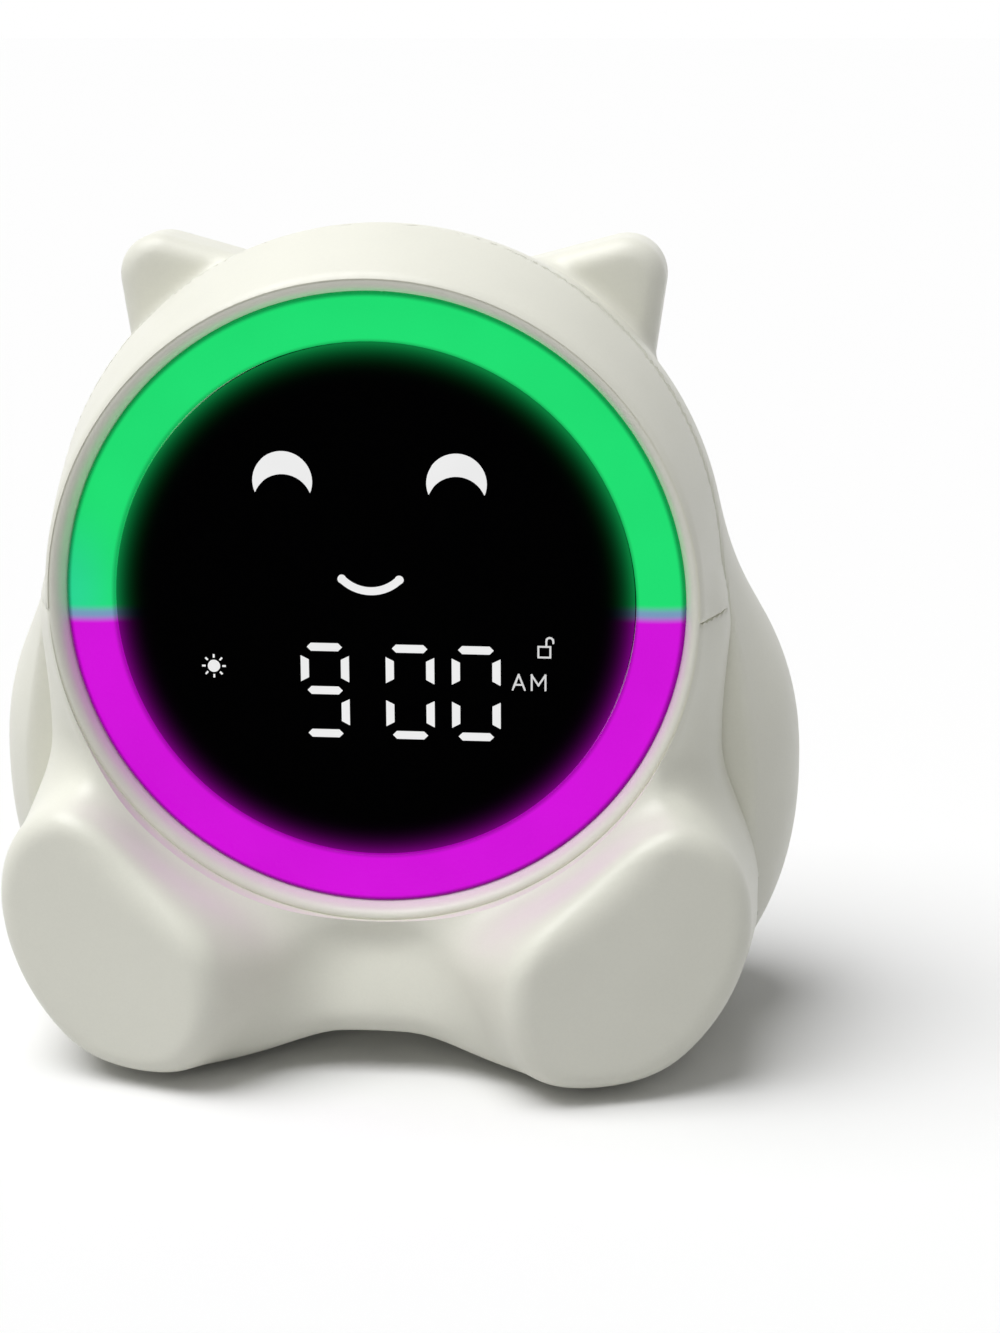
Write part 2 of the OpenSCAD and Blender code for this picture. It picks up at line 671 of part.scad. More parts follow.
module rear_panel() color("#e4e2d9") difference() {
    union() {
        translate([0, 0, panel_z]) facing(panel_out) linear_extrude(panel_t) panel_outline(0);
        translate([speaker_at[0], 0, speaker_at[1]]) facing(panel_in + 0.1) linear_extrude(5) difference() {
            circle(speaker_r + gap + speaker_rim, $fn = 96);
            circle(speaker_r + gap, $fn = 96);
        }
        for (s = [-1, 1]) translate([socket_at[0] + s * socket_post, panel_in - 7, socket_at[1] - 2])
            cube([socket_post_t, 14.2, socket_h + 1], center = true);
        for (x = [-1, 1])
            rod(x * board_post_x, board_post_z, 2.6, button_board_y + board_t + 0.1, panel_in + 0.1);
    }
    for (p = buttons_at) rod(p[0], p[1], button_d / 2 + gap, panel_in - 1, panel_out + 1);
    for (p = panel_screws_at) {
        rod(p[0], p[1], 1.3, panel_in - 1, panel_out + 1);
        rod(p[0], p[1], 2.4, panel_out - 1.2, panel_out + 1);
    }
    for (x = [-1, 1]) rod(x * board_post_x, board_post_z, 0.8, button_board_y, panel_in - 0.4);
    grille_pitch = 3.6;
    for (i = [-3:3], j = [-3:3]) {
        gx = (i + j / 2) * grille_pitch;
        gz = j * grille_pitch * sin(60);
        if (norm([gx, gz]) < speaker_r - 1.5)
            rod(speaker_at[0] + gx, speaker_at[1] + gz, 0.9, panel_in - 1, panel_out + 1);
    }
    translate([socket_at[0], 0, socket_at[1]]) facing(panel_out + 1) linear_extrude(panel_t + 2) {
        slot(socket_w, socket_h);
    }
}

module push_button(i) color("#d9d7ce") difference() {
    p = buttons_at[i];
    union() {
        rod(p[0], p[1], button_d / 2, panel_in - gap - 0.5, panel_out + button_out - 0.4);
        rod(p[0], p[1], button_d / 2 - 0.6, panel_in, panel_out + button_out);
        rod(p[0], p[1], button_d / 2 + 1.1, panel_in - gap - 1.4, panel_in - gap);
        rod(p[0], p[1], 1.6, stem_y, panel_in - gap);
    }
    translate([p[0], 0, p[1]]) facing(panel_out + button_out + 1)
        linear_extrude(1 + key_mark_depth) mirror([1, 0]) button_mark(i);
}
// Sunk signs in the caps: clock, bell, lamp, minus, plus, sound
module button_mark(i) {
    if (i == 0) clock_sign();
    if (i == 1) bell_sign();
    if (i == 2) lamp_sign();
    if (i == 3 || i == 4) square([3.4, 0.6], center = true);
    if (i == 4) square([0.6, 3.4], center = true);
    if (i == 5) horn_sign();
}
module clock_sign() {
    difference() {
        circle(2, $fn = 48);
        circle(1.5, $fn = 48);
    }
    square([0.4, 1.2]);
    square([1, 0.4]);
}
module bell_sign() {
    circle(1.2, $fn = 32);
    translate([-1.2, -1.4]) square([2.4, 1.4]);
    translate([-2, -1.9]) square([4, 0.5]);
}
module lamp_sign() {
    translate([0, 0.4]) circle(1.4, $fn = 32);
    translate([-0.6, -1.9]) square([1.2, 1.6]);
}
module horn_sign() {
    translate([-1.9, -0.6]) square([1.2, 1.2]);
    polygon([[-0.7, -0.6], [0.8, -1.7], [0.8, 1.7], [-0.7, 0.6]]);
    translate([1.3, -0.9]) square([0.4, 1.8]);
}

module button_board() color(board_green) difference() {
    plate(-button_board_w / 2, button_board_w / 2, button_board_y, button_board_y + board_t,
        panel_z, panel_z + button_board_h);
    for (x = [-1, 1]) rod(x * board_post_x, board_post_z, 1.1, button_board_y - 1, button_board_y + 3);
}
module button_switches() color("#3a3b3e") for (p = buttons_at) {
    y = button_board_y + board_t;
    plate(p[0] - 3, p[0] + 3, y, y + switch_h - 0.8, p[1] - 3, p[1] + 3);
    rod(p[0], p[1], 1.6, y + switch_h - 0.9, y + switch_h);
}

module speaker() color("#2c2d30") translate([speaker_at[0], 0, speaker_at[1]]) difference() {
    union() {
        disc(speaker_r, panel_in - gap - 2.2, panel_in - gap);
        behind(panel_in - gap - 5) cylinder(r1 = 8, r2 = speaker_r - 1, h = 2.9, $fn = 64);
        disc(7.5, panel_in - gap - 8, panel_in - gap - 4.9);
    }
    behind(panel_in - gap - 1.4) cylinder(r1 = 4, r2 = speaker_r - 1.6, h = 1.5, $fn = 64);
}

power_w = 2 * (socket_post - socket_post_t / 2 - gap);
module power_board() color(board_green)
    translate([socket_at[0] - power_w / 2, panel_in - 16, socket_at[1] - 1.8 - board_t])
        cube([power_w, 16 - gap, board_t]);

module usb_socket() color(steel)
    translate([socket_at[0], 0, socket_at[1]]) facing(panel_out - 0.4) difference() {
        linear_extrude(7.5) slot(socket_w - 0.6, socket_h - 0.6);
        translate([0, 0, -1]) linear_extrude(7) slot(socket_w - 0.6, socket_h - 1.3);
    }

// ---- Battery bay ----
bay_top = under_z + floor_t + 0.1 + bay_h;
module battery_box() color("#3a3b3e") difference() {
    plate(-bay_w / 2, bay_w / 2, bay_y + gap - bay_d / 2, bay_y + gap + bay_d / 2,
        under_z + floor_t + 0.1, bay_top);
    plate(-bay_w / 2 + bay_wall, bay_w / 2 - bay_wall, bay_y + gap - bay_d / 2 + bay_wall,
        bay_y + gap + bay_d / 2 - bay_wall, under_z, bay_top - bay_wall);
}
cells_z = bay_top - bay_wall - 0.3 - cell_d / 2;
cells_y = [for (i = [0:cell_count - 1])
    bay_y + gap + (i - (cell_count - 1) / 2) * (cell_d + cell_gap)];
module battery_cells() color("#3f6fae")
    for (y = cells_y) translate([-cell_l / 2, y, cells_z]) rotate([0, 90, 0]) cell();
module cell() {
    cylinder(d = cell_d, h = cell_l - 1, $fn = 64);
    translate([0, 0, cell_l - 1.1]) cylinder(d = 3.8, h = 1.1, $fn = 32);
}
module battery_contacts() color(steel) for (y = cells_y, s = [-1, 1]) {
    end = bay_w / 2 - bay_wall;
    translate([s * (end - 0.25), y, cells_z]) cube([0.5, 8, 8], center = true);
    translate([s * (end - 0.5), y, cells_z])
        rotate([0, -s * 90, 0]) cylinder(r1 = 3.2, r2 = 2.2, h = 1.2, $fn = 48);
}
module battery_door() color("#e4e2d9") translate([0, gap, 0]) difference() {
    union() {
        plate(-door_w / 2, door_w / 2, bay_y - door_l / 2, bay_y + door_l / 2, under_z, under_z + door_t);
        plate(-door_w / 2 - tongue, door_w / 2 + tongue, bay_y - door_l / 2, bay_y + door_l / 2,
            under_z + 0.6 + gap, under_z + door_t);
    }
    for (i = [0:4])
        translate([0, bay_y + door_l / 2 - 5 - 2 * i, under_z]) cube([16, 0.9, 1], center = true);
}

module rubber_feet() color("#6d6e70") {
    pads(leg_pad_y, 0);
    pads(rear_pad_y, 0);
}

// ---- Screws ----
module screw(p, from, to, shank, head, head_t) {
    rod(p[0], p[1], shank, from, to);
    difference() {
        rod(p[0], p[1], head, to - 0.01, to + head_t);
        for (a = [0, 90])
            translate([p[0], to + head_t, p[1]])
                rotate([0, a, 0]) cube([head * 1.3, 1, 0.6], center = true);
    }
}
module housing_screws() color(steel) {
    for (p = top_screws) screw(p, seam_depth - pilot_l + 0.4, seam_depth + gap + 4.1, 1, head_r, 2);
    for (p = low_screws) screw(p, 3, seam_depth + gap + 7.1, 1, head_r, 2);
}
module dial_screws() color(steel)
    for (p = dial_screws_at) screw(p, front_board_y - 3.6, chassis_y + chassis_t + 0.05, 0.9, 2, 1.4);
module panel_screws() color(steel)
    for (p = panel_screws_at) screw(p, back_y - 3, panel_out - 1.15, 0.8, 2.1, 1);
module board_screws() color(steel) {
    for (p = board_screws_at) screw(p, main_y - 4, main_y + board_t + 0.05, 0.8, 1.8, 1.2);
    for (x = [-1, 1]) {
        rod(x * board_post_x, board_post_z, 0.7, button_board_y - 0.05, button_board_y + 5);
        rod(x * board_post_x, board_post_z, 1.8, button_board_y - 1.3, button_board_y - 0.05);
    }
}

placed() front_shell();
placed() head_hood();
placed() rear_shell();
placed() bezel_ring();
placed() light_diffuser();
placed() display_lens();
placed() icon_guide();
placed() light_shield();
placed() ring_reflector();
placed() front_board();
placed() ring_lamps();
placed() display_lamps();
placed() face_chassis();
placed() main_board();
placed() board_chips();
placed() rear_panel();
placed() push_button(0);  // time_button
placed() push_button(1);  // alarm_button
placed() push_button(2);  // light_button
placed() push_button(3);  // minus_button
placed() push_button(4);  // plus_button
placed() push_button(5);  // sound_button
placed() button_board();
placed() button_switches();
placed() speaker();
placed() power_board();
placed() usb_socket();
placed() battery_box();
placed() battery_cells();
placed() battery_contacts();
placed() battery_door();
placed() rubber_feet();
placed() housing_screws();
placed() dial_screws();
placed() panel_screws();
placed() board_screws();
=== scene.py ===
"""Dresses the kids alarm clock: smooth moulded shells, glowing ring, dark display and soft studio light."""
import math

import bmesh
import bpy
import numpy as np
from bpy.props import FloatProperty, FloatVectorProperty, PointerProperty
from mathutils import Matrix, Vector


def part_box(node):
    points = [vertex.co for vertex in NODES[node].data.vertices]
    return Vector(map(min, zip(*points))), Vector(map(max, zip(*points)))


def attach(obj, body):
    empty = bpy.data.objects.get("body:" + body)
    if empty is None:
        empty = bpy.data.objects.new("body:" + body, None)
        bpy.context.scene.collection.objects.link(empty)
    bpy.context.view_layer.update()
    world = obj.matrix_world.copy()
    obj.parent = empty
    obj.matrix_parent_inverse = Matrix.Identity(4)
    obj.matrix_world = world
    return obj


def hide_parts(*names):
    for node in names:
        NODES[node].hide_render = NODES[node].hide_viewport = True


bl_info = {
    "name": "Kids alarm clock",
    "version": (1, 0, 0),
    "blender": (4, 5, 0),
    "location": "3D View > Sidebar > Clock",
    "description": "Builds the looks of a kids alarm clock with a night light over its engineering model",
    "category": "Object",
}

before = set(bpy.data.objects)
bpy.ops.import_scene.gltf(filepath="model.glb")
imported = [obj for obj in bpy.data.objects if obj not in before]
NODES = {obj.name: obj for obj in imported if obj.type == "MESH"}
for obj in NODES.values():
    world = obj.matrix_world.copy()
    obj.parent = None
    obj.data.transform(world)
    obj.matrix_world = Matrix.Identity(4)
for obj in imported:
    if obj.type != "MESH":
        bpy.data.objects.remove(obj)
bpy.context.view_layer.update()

MM = 0.001
DIAL_HEIGHT = 84.5   # of the dial's centre above the table, in millimetres
BUTTONS = ("time", "alarm", "light", "minus", "plus", "sound")


# ---------------------------------------------------------------- settings

def size(name, description, default, low=0.0, high=1.0):
    """A length in metres."""
    return FloatProperty(name=name, description=description, default=default, min=low, max=high,
                         subtype="DISTANCE", unit="LENGTH", precision=5)


def angle(name, description, degrees):
    """An angle, given in degrees."""
    return FloatProperty(name=name, description=description, default=math.radians(degrees),
                         subtype="ANGLE", unit="ROTATION")


def amount(name, description, default):
    """A plain number."""
    return FloatProperty(name=name, description=description, default=default)


def colour(name, description, default):
    """A paint colour, in linear light."""
    return FloatVectorProperty(name=name, description=description, default=default, size=3,
                               min=0.0, max=1.0, subtype="COLOR")


class ClockSizes(bpy.types.PropertyGroup):
    """Sizes of the shells and the dial, as the engineering model has them."""
    dial_height: size("Dial height", "Height of the dial's centre above the table", DIAL_HEIGHT * MM)
    dial_depth: size("Dial depth", "Depth of the dial's plane in the row frame", -21.55 * MM, -0.1, 0.1)
    wall: size("Wall", "Wall of the moulded shells", 2.4 * MM)
    fillet: size("Edge rounding", "Rounding of the mouldings' visible edges", 0.7 * MM)
    fine_step: size("Front mesh step", "Grid step of the front mouldings' sampling", 0.8 * MM, 0.2 * MM)
    rear_step: size("Rear mesh step", "Grid step of the rear shell's sampling", 1.0 * MM, 0.2 * MM)
    ring_inner: size("Ring inner radius", "Inner radius of the light ring", 45.7 * MM)
    ring_outer: size("Ring outer radius", "Outer radius of the light ring", 54.0 * MM)
    blend_height: size("Colour change", "Drop of the ring's colour change below the dial centre", 1.6 * MM)
    blend_width: size("Colour change width", "Width over which the ring's two colours mix", 3.6 * MM)


class ClockColours(bpy.types.PropertyGroup):
    """Colours of the clock's finishes."""
    shell: colour("Shell", "Warm white moulded shell", (0.865, 0.862, 0.765))
    panel: colour("Rear panel", "Warm white rear panel and door", (0.74, 0.73, 0.65))
    button: colour("Buttons", "Rear push buttons", (0.62, 0.61, 0.55))
    ink: colour("Ink", "Ink of the signs on the buttons", (0.10, 0.10, 0.10))
    upper_light: colour("Upper light", "Colour of the ring's upper half", (0.011, 0.680, 0.155))
    side_light: colour("Side light", "Tint of the ring's upper half at its left end", (0.020, 0.620, 0.270))
    middle_light: colour("Middle light", "Colour where the ring's two halves meet", (0.170, 0.300, 0.470))
    lower_light: colour("Lower light", "Colour of the ring's lower half", (0.590, 0.004, 0.650))
    display: colour("Display", "Smoked display lens", (0.0006, 0.0006, 0.0007))
    sign: colour("Signs", "Light of the face and the digits", (0.84, 0.84, 0.84))
    board: colour("Board", "Green solder mask", (0.012, 0.110, 0.045))
    rubber: colour("Rubber", "Rubber feet", (0.10, 0.10, 0.105))
    steel: colour("Steel", "Plated steel of screws, contacts and socket", (0.60, 0.61, 0.63))
    black: colour("Black parts", "Black mouldings, chips and speaker", (0.018, 0.018, 0.020))
    cell: colour("Cell sleeve", "Sleeve of the cells", (0.020, 0.090, 0.330))
    floor: colour("Floor", "Studio floor", (0.965, 0.965, 0.965))


class StageSettings(bpy.types.PropertyGroup):
    """Camera and light of the studio."""
    camera_x: size("Camera X", "Camera position to the right", 70.31 * MM, -5.0, 5.0)
    camera_y: size("Camera Y", "Camera position in depth", -481.62 * MM, -5.0, 5.0)
    camera_z: size("Camera Z", "Camera height", 194.04 * MM, -5.0, 5.0)
    yaw: angle("Yaw", "Turn of the camera round the clock", 5.986)
    pitch: angle("Pitch", "Look down of the camera", 14.569)
    roll: angle("Roll", "Tilt of the camera about its own view", -0.194)
    lens: amount("Lens", "Focal length in millimetres", 74.32)
    world_light: amount("World light", "Strength of the even light", 0.21)
    floor_bounce: amount("Floor bounce", "How pale the floor is to the light it returns", 0.62)
    key_light: amount("Key light", "Strength of the broad light from above", 2.75)
    key_spread: angle("Key spread", "How broad the light from above is", 50)


def settings():
    """The sizes, the colours and the stage's values."""
    scene = bpy.context.scene
    return scene.clock_sizes, scene.clock_colours, scene.clock_stage


def shell_sizes():
    """Wall and edge rounding of the shells, in millimetres."""
    sizes = settings()[0]
    return sizes.wall / MM, sizes.fillet / MM


def dial_place():
    """The dial's centre in the row frame, in millimetres."""
    sizes = settings()[0]
    return np.array([0, sizes.dial_depth / MM, sizes.dial_height / MM])


# ---------------------------------------------------------------- moulded forms
# The shells are the zero surface of these functions, in millimetres from the dial's centre, with
# X to the right, Y to the back and Z up: negative inside the form and positive outside it.

SEAM, CREST, BACK = 13.0, 4.0, 64.0      # parting plane, head's crest in front of the dial, back plane
CREST_R, FLARE, RISE = 56.9, 4.4, 3.0    # head's radius at the crest, its growth and climb to the seam
UNDER = 0.9 - DIAL_HEIGHT                # underside of the shells
GAP = 0.3                                # between pieces that are seated in each other
BORE_R, BORE_WALL, BORE_SPARE = 56.71, 1.8, 2.0   # spare: what is left inside for the bore's cutter
FLANGE_R, FLANGE_DEPTH = 57.7, 1.8
MOUTH_SPARE = 1.0                        # how far the rear shell's mouth reaches into its hollow
# The rear panel's outline, and the ledge under it, measured from that outline and from the back plane
PANEL = dict(w=76.0, h=62.0, r=20.0, z=48.5 - DIAL_HEIGHT)
LEDGE = dict(out=3.0, inside=6.0, rear=1.0, front=4.6)
# Growth of the head that runs ahead near the crest, flattening of its sides, evening of its level
HEAD = dict(swell=0.15, flat=0.028, slope=0.96, edge=2.0)
# Front of the waist, how far the belly stands out from it, and the height over which it does
BELLY = dict(y=-1.8, out=5.9, top=-55.0, over=20.0)
# Half width of the waist at z, its growth away from z and its tuck below tuck_z
WAIST = dict(half=60.4, z=-28.0, flare=0.0012, tuck=0.02, tuck_z=-54.0, top=5.0, edge=12.0)
# The arch between the legs: its height above the table and its fall to both sides
ARCH = dict(height=7.0, fall=0.0045, slope=0.95, edge=5.0)
# Middle of a sole, its turn outwards and lean, its half sizes and how these grow behind it
LEG = dict(x=46.4, y=-17.16, z=-59.0, turn=math.radians(17.8), lean=math.radians(55.7), long=25.2,
           short=18.8, grow_long=0.3, grow_short=0.42, edge=3.8, clear=1.6, rim=8.0)
# Half width of the body and its taper upwards, its middle and half depth, and its half heights
PEAR = dict(half=74.4, taper=0.0016, y=33.0, depth=39.0, above=61.0, below=64.0, power=2.25)
# Half width and depth of the nape, and how it moves back and thins out at its sides
NAPE = dict(half=60.5, depth=46.0, shift=5.0, shallow=3.0)
# Middles of an ear's round corners, their radius, and the plate's middle and half thickness
EAR = dict(corners=[(41.7, 53.7), (25.7, 49.4), (39.7, 39.6)], r=7.2, y=30.5, half=8.0, edge=4.0)
# Lower lip of the hood, its rear corner's radius, how far it stands proud and its clearance
HOOD = dict(lip=-1.5, corner=5.0, proud=0.3, clear=0.12, edge=0.8)
# Lengths over which the forms run into each other
BLENDS = dict(neck=6.0, hips=8.0, soles=6.0, nape=13.0, back=9.0, foot=7.0, ears=2.5, bore=0.3, hood=0.5)


def blend_min(a, b, k):
    """The smaller of two levels, with the forms running into each other over k."""
    h = np.maximum(k - np.abs(a - b), 0) / k
    return np.minimum(a, b) - h * h * k / 4


def blend_max(a, b, k):
    """The greater of two levels, with the edge between the forms rounded over k."""
    return -blend_min(-a, -b, k)


def ramp(w):
    """A soft step from 0 to 1."""
    w = np.clip(w, 0, 1)
    return w * w * (3 - 2 * w)


def length(*parts):
    return np.sqrt(sum(p * p for p in parts))


def rounded(sides, r):
    """A form inside all the given sides, with its edges rounded by r."""
    q = [side + r for side in sides]
    return length(*[np.maximum(v, 0) for v in q]) - r + np.minimum(np.maximum.reduce(q), 0)


def stretched(distance, n):
    """A round form stretched by its axes: n is 0 in its middle and 1 on its surface."""
    return distance * (1 - 1 / np.maximum(n, 0.01))


def head_level(x, y, z):
    """The round head, which widens, flattens at its sides and climbs from its crest to the seam."""
    w = np.clip((y + CREST) / (SEAM + CREST), 0, 1)
    e = w * (1 + HEAD["swell"] - HEAD["swell"] * w)
    round_head = length(x * (1 + HEAD["flat"] * e), z - RISE * e) - CREST_R - FLARE * e
    return blend_max(round_head * HEAD["slope"], -CREST - y, HEAD["edge"])


def torso_level(x, y, z):
    """The waist with the belly below it, and the arch between the legs."""
    front = BELLY["y"] - BELLY["out"] * ramp((BELLY["top"] - z) / BELLY["over"])
    side = (WAIST["half"] + WAIST["flare"] * (z - WAIST["z"]) ** 2
            - WAIST["tuck"] * np.maximum(WAIST["tuck_z"] - z, 0) ** 2)
    box = rounded([np.abs(x) - side, front - y, z - WAIST["top"]], WAIST["edge"])
    arch = (ARCH["height"] - DIAL_HEIGHT - ARCH["fall"] * x * x - z) * ARCH["slope"]
    return blend_max(box, arch, ARCH["edge"])


def leg_level(x, y, z):
    """Both legs: oval cones that widen behind their soles and keep clear of the head's rim."""
    turn, lean = LEG["turn"], LEG["lean"]
    qx, qy, qz = np.abs(x) - LEG["x"], y - LEG["y"], z - LEG["z"]
    t = qy * math.cos(turn) - qx * math.sin(turn)
    u = qx * math.cos(turn) + qy * math.sin(turn)
    s = u * math.cos(lean) + qz * math.sin(lean)
    c = qz * math.cos(lean) - u * math.sin(lean)
    n = length(s / (LEG["long"] + LEG["grow_long"] * t), c / (LEG["short"] + LEG["grow_short"] * t))
    leg = blend_max(stretched(length(s, c), n), -t, LEG["edge"])
    return blend_max(leg, CREST_R + LEG["clear"] - length(x, z), LEG["rim"])


def front_level(x, y, z):
    """The whole outside of the front: head, torso and legs."""
    body = blend_min(head_level(x, y, z), torso_level(x, y, z), BLENDS["neck"])
    body = blend_min(body, leg_level(x, y, z), BLENDS["hips"])
    return blend_max(body, UNDER - z, BLENDS["soles"])


def rear_level(x, y, z):
    """The whole outside of the rear without its ears: a pear-shaped body and the nape behind the head."""
    up, back, climb = z - PANEL["z"], y - PEAR["y"], z - RISE
    wide = PEAR["half"] - PEAR["taper"] * np.maximum(up, 0) ** 2
    high = np.where(up > 0, PEAR["above"], PEAR["below"])
    p = PEAR["power"]
    n = (np.abs(x / wide) ** p + np.abs(back / PEAR["depth"]) ** p + np.abs(up / high) ** p) ** (1 / p)
    pear = stretched(length(x, back, up), n)
    aside = x * x / (x * x + climb * climb + 1)
    deep = (y - SEAM - NAPE["shift"] * aside) / (NAPE["depth"] - NAPE["shallow"] * aside)
    n = length(x / NAPE["half"], deep, climb / (CREST_R + FLARE))
    nape = stretched(length(x, y - SEAM, climb), n)
    body = blend_max(blend_min(pear, nape, BLENDS["nape"]), y - BACK, BLENDS["back"])
    return blend_max(body, UNDER - RISE - climb, BLENDS["foot"])


def corner_distance(px, pz, corners):
    """Distance of points from a flat triangle in the plane of the ears, negative inside it."""
    best = np.full(np.shape(px), np.inf)
    inside = np.full(np.shape(px), True)
    for (ax, az), (bx, bz) in zip(corners, corners[1:] + corners[:1]):
        ex, ez = bx - ax, bz - az
        k = np.clip(((px - ax) * ex + (pz - az) * ez) / (ex * ex + ez * ez), 0, 1)
        best = np.minimum(best, length(px - ax - k * ex, pz - az - k * ez))
        inside &= (px - ax) * ez - (pz - az) * ex < 0
    return np.where(inside, -best, best)


def ear_level(x, y, z):
    """Both ears: thick plates with three round corners and soft edges."""
    side = corner_distance(np.abs(x), z, EAR["corners"]) - EAR["r"]
    return rounded([side, np.abs(y - EAR["y"]) - EAR["half"]], EAR["edge"])


def hood_side(y, z, grow):
    """Side outline of the hood: above its lower lip and in front of the seam, with a round rear corner."""
    return rounded([y - SEAM - grow, HOOD["lip"] - grow - z], HOOD["corner"] + grow)


def panel_outline(x, z, grow):
    """The rear panel's outline: a rectangle with round corners."""
    sides = [np.abs(x) - PANEL["w"] / 2 - grow, np.abs(z - PANEL["z"]) - PANEL["h"] / 2 - grow]
    return rounded(sides, PANEL["r"] + grow)


def front_moulding(x, y, z):
    """The hollow front shell without the hood's place. Beside the rear shell, the legs' backs are closed."""
    wall, soft = shell_sizes()
    r = length(x, z)
    outer = front_level(x, y, z)
    leg_back = np.minimum(rear_level(x, np.full_like(y, SEAM), z) + wall, y - SEAM + wall)
    hollow = np.maximum.reduce([outer + wall, BORE_R + BORE_WALL - r, leg_back])
    f = blend_max(outer, BORE_R - BORE_SPARE - r, BLENDS["bore"])
    f = blend_max(f, -hood_side(y, z, HOOD["clear"]), BLENDS["hood"])
    f = blend_max(f, y - SEAM, soft)
    return np.maximum(f, -hollow)


def hood_moulding(x, y, z):
    """The solid hood, a little proud of the front shell's form."""
    f = np.maximum(front_level(x, y, z) - HOOD["proud"], BORE_R - BORE_SPARE - length(x, z))
    return blend_max(f, hood_side(y, z, 0), HOOD["edge"])


def rear_moulding(x, y, z):
    """The hollow rear shell with its ears, open to the front shell, and the ledge for the rear panel."""
    wall, soft = shell_sizes()
    y = y - GAP
    body = rear_level(x, y, z)
    f = blend_max(blend_min(body, ear_level(x, y, z), BLENDS["ears"]), SEAM - y, soft)
    lining = np.maximum(body + wall, SEAM + wall - y)
    mouth = np.maximum.reduce([front_level(x, np.full_like(y, SEAM), z) + wall + GAP, body + wall,
                               y - SEAM - wall - MOUTH_SPARE])
    f = np.maximum(f, -np.minimum(lining, mouth))
    ledge = np.maximum.reduce([panel_outline(x, z, LEDGE["out"]), -panel_outline(x, z, -LEDGE["inside"]),
                               y - BACK + LEDGE["rear"], BACK - LEDGE["front"] - y])
    return np.minimum(f, ledge)


# ---------------------------------------------------------------- mesh making

ROUND = 360         # points in a full turn of the dial's round edges
SLAB = 16           # grid layers that are worked out at a time
SHARP_MADE, SHARP_CUT = 40, 35   # edges sharper than this, in degrees, are shaded as edges


def sampled(field, lo, hi, step):
    """Quads round the field's zero surface in a box in millimetres, one point for each cell it crosses."""
    axes = [np.arange(a, b + step, step) for a, b in zip(lo, hi)]
    grid = np.empty([len(a) for a in axes])
    for i in range(0, len(axes[0]), SLAB):
        part = np.meshgrid(axes[0][i:i + SLAB], axes[1], axes[2], indexing="ij")
        grid[i:i + SLAB] = field(*part)
    inside = grid < 0
    corners = [(i, j, k) for i in (0, 1) for j in (0, 1) for k in (0, 1)]
    count = sum(inside[i:i - 1 or None, j:j - 1 or None, k:k - 1 or None].astype(np.int8)
                for i, j, k in corners)
    cells = np.argwhere((count > 0) & (count < 8))
    number = np.full(count.shape, -1)
    number[tuple(cells.T)] = np.arange(len(cells))
    total, hits = np.zeros((len(cells), 3)), np.zeros(len(cells))
    for a in corners:
        for axis in range(3):
            if a[axis]:
                continue
            b = tuple(v + (n == axis) for n, v in enumerate(a))
            fa, fb = grid[tuple((cells + a).T)], grid[tuple((cells + b).T)]
            cross = (fa < 0) != (fb < 0)
            at = np.array(a, float)[None].repeat(len(cells), 0)
            at[:, axis] += np.where(cross, fa / np.where(cross, fa - fb, 1), 0)
            total[cross] += at[cross]
            hits[cross] += 1
    points = (cells + total / hits[:, None]) * step + [a[0] for a in axes]
    quads = []
    units = np.eye(3, dtype=int)
    for axis in range(3):
        u, v = (axis + 1) % 3, (axis + 2) % 3
        ends = tuple(slice(0, n - s) for n, s in zip(grid.shape, units[axis]))
        far = tuple(slice(s, n) for n, s in zip(grid.shape, units[axis]))
        edges = np.argwhere(inside[ends] != inside[far])
        keep = (edges[:, u] > 0) & (edges[:, v] > 0)
        keep &= (edges[:, u] < count.shape[u]) & (edges[:, v] < count.shape[v])
        edges = edges[keep]
        around = [edges - units[u] - units[v], edges - units[v], edges, edges - units[u]]
        quad = np.stack([number[tuple(c.T)] for c in around], 1)
        leaving = inside[tuple(edges.T)]
        quads.append(np.where(leaving[:, None], quad, quad[:, ::-1]))
    quads = np.concatenate(quads)
    return points, quads[(quads >= 0).all(1)]


def settled(field, points, step, rounds=3):
    """The points moved along the field's slope until they lie on its zero surface."""
    aside = 0.02             # how far to each side of a point the slope is measured
    least_slope = 0.05       # squared, so that no point jumps where the field is flat
    longest = 0.4 * step     # move of a point in one round
    shifts = aside * np.eye(3)
    for _ in range(rounds):
        slope = np.stack([field(*(points + shift).T) - field(*(points - shift).T) for shift in shifts], 1)
        slope /= 2 * aside
        steep = np.maximum((slope ** 2).sum(1), least_slope)
        move = -field(*points.T)[:, None] * slope / steep[:, None]
        reach = np.linalg.norm(move, axis=1)
        points = points + move * np.minimum(1, longest / np.maximum(reach, 1e-9))[:, None]
    return points


def link(name, data):
    """An object in the scene, made of a mesh, a light or a camera."""
    piece = bpy.data.objects.new(name, data)
    bpy.context.scene.collection.objects.link(piece)
    return piece


def new_piece(name, points, faces, node, material, cutters=()):
    """A smooth-shaded piece in place of its CAD node, from points in millimetres from the dial's centre."""
    mesh = bpy.data.meshes.new(name)
    points = (points + dial_place()) * MM
    mesh.from_pydata([tuple(p) for p in points], [], [tuple(map(int, f)) for f in faces])
    mesh.validate()
    piece = link(name, mesh)
    smooth(piece, SHARP_MADE)
    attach(piece, "case")
    for cutter in cutters:
        cut_away(piece, cutter)
    if cutters:
        smooth(piece, SHARP_CUT)
    piece.data.materials.clear()
    piece.data.materials.append(material)
    piece.data.polygons.foreach_set("material_index", [0] * len(piece.data.polygons))
    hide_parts(node)


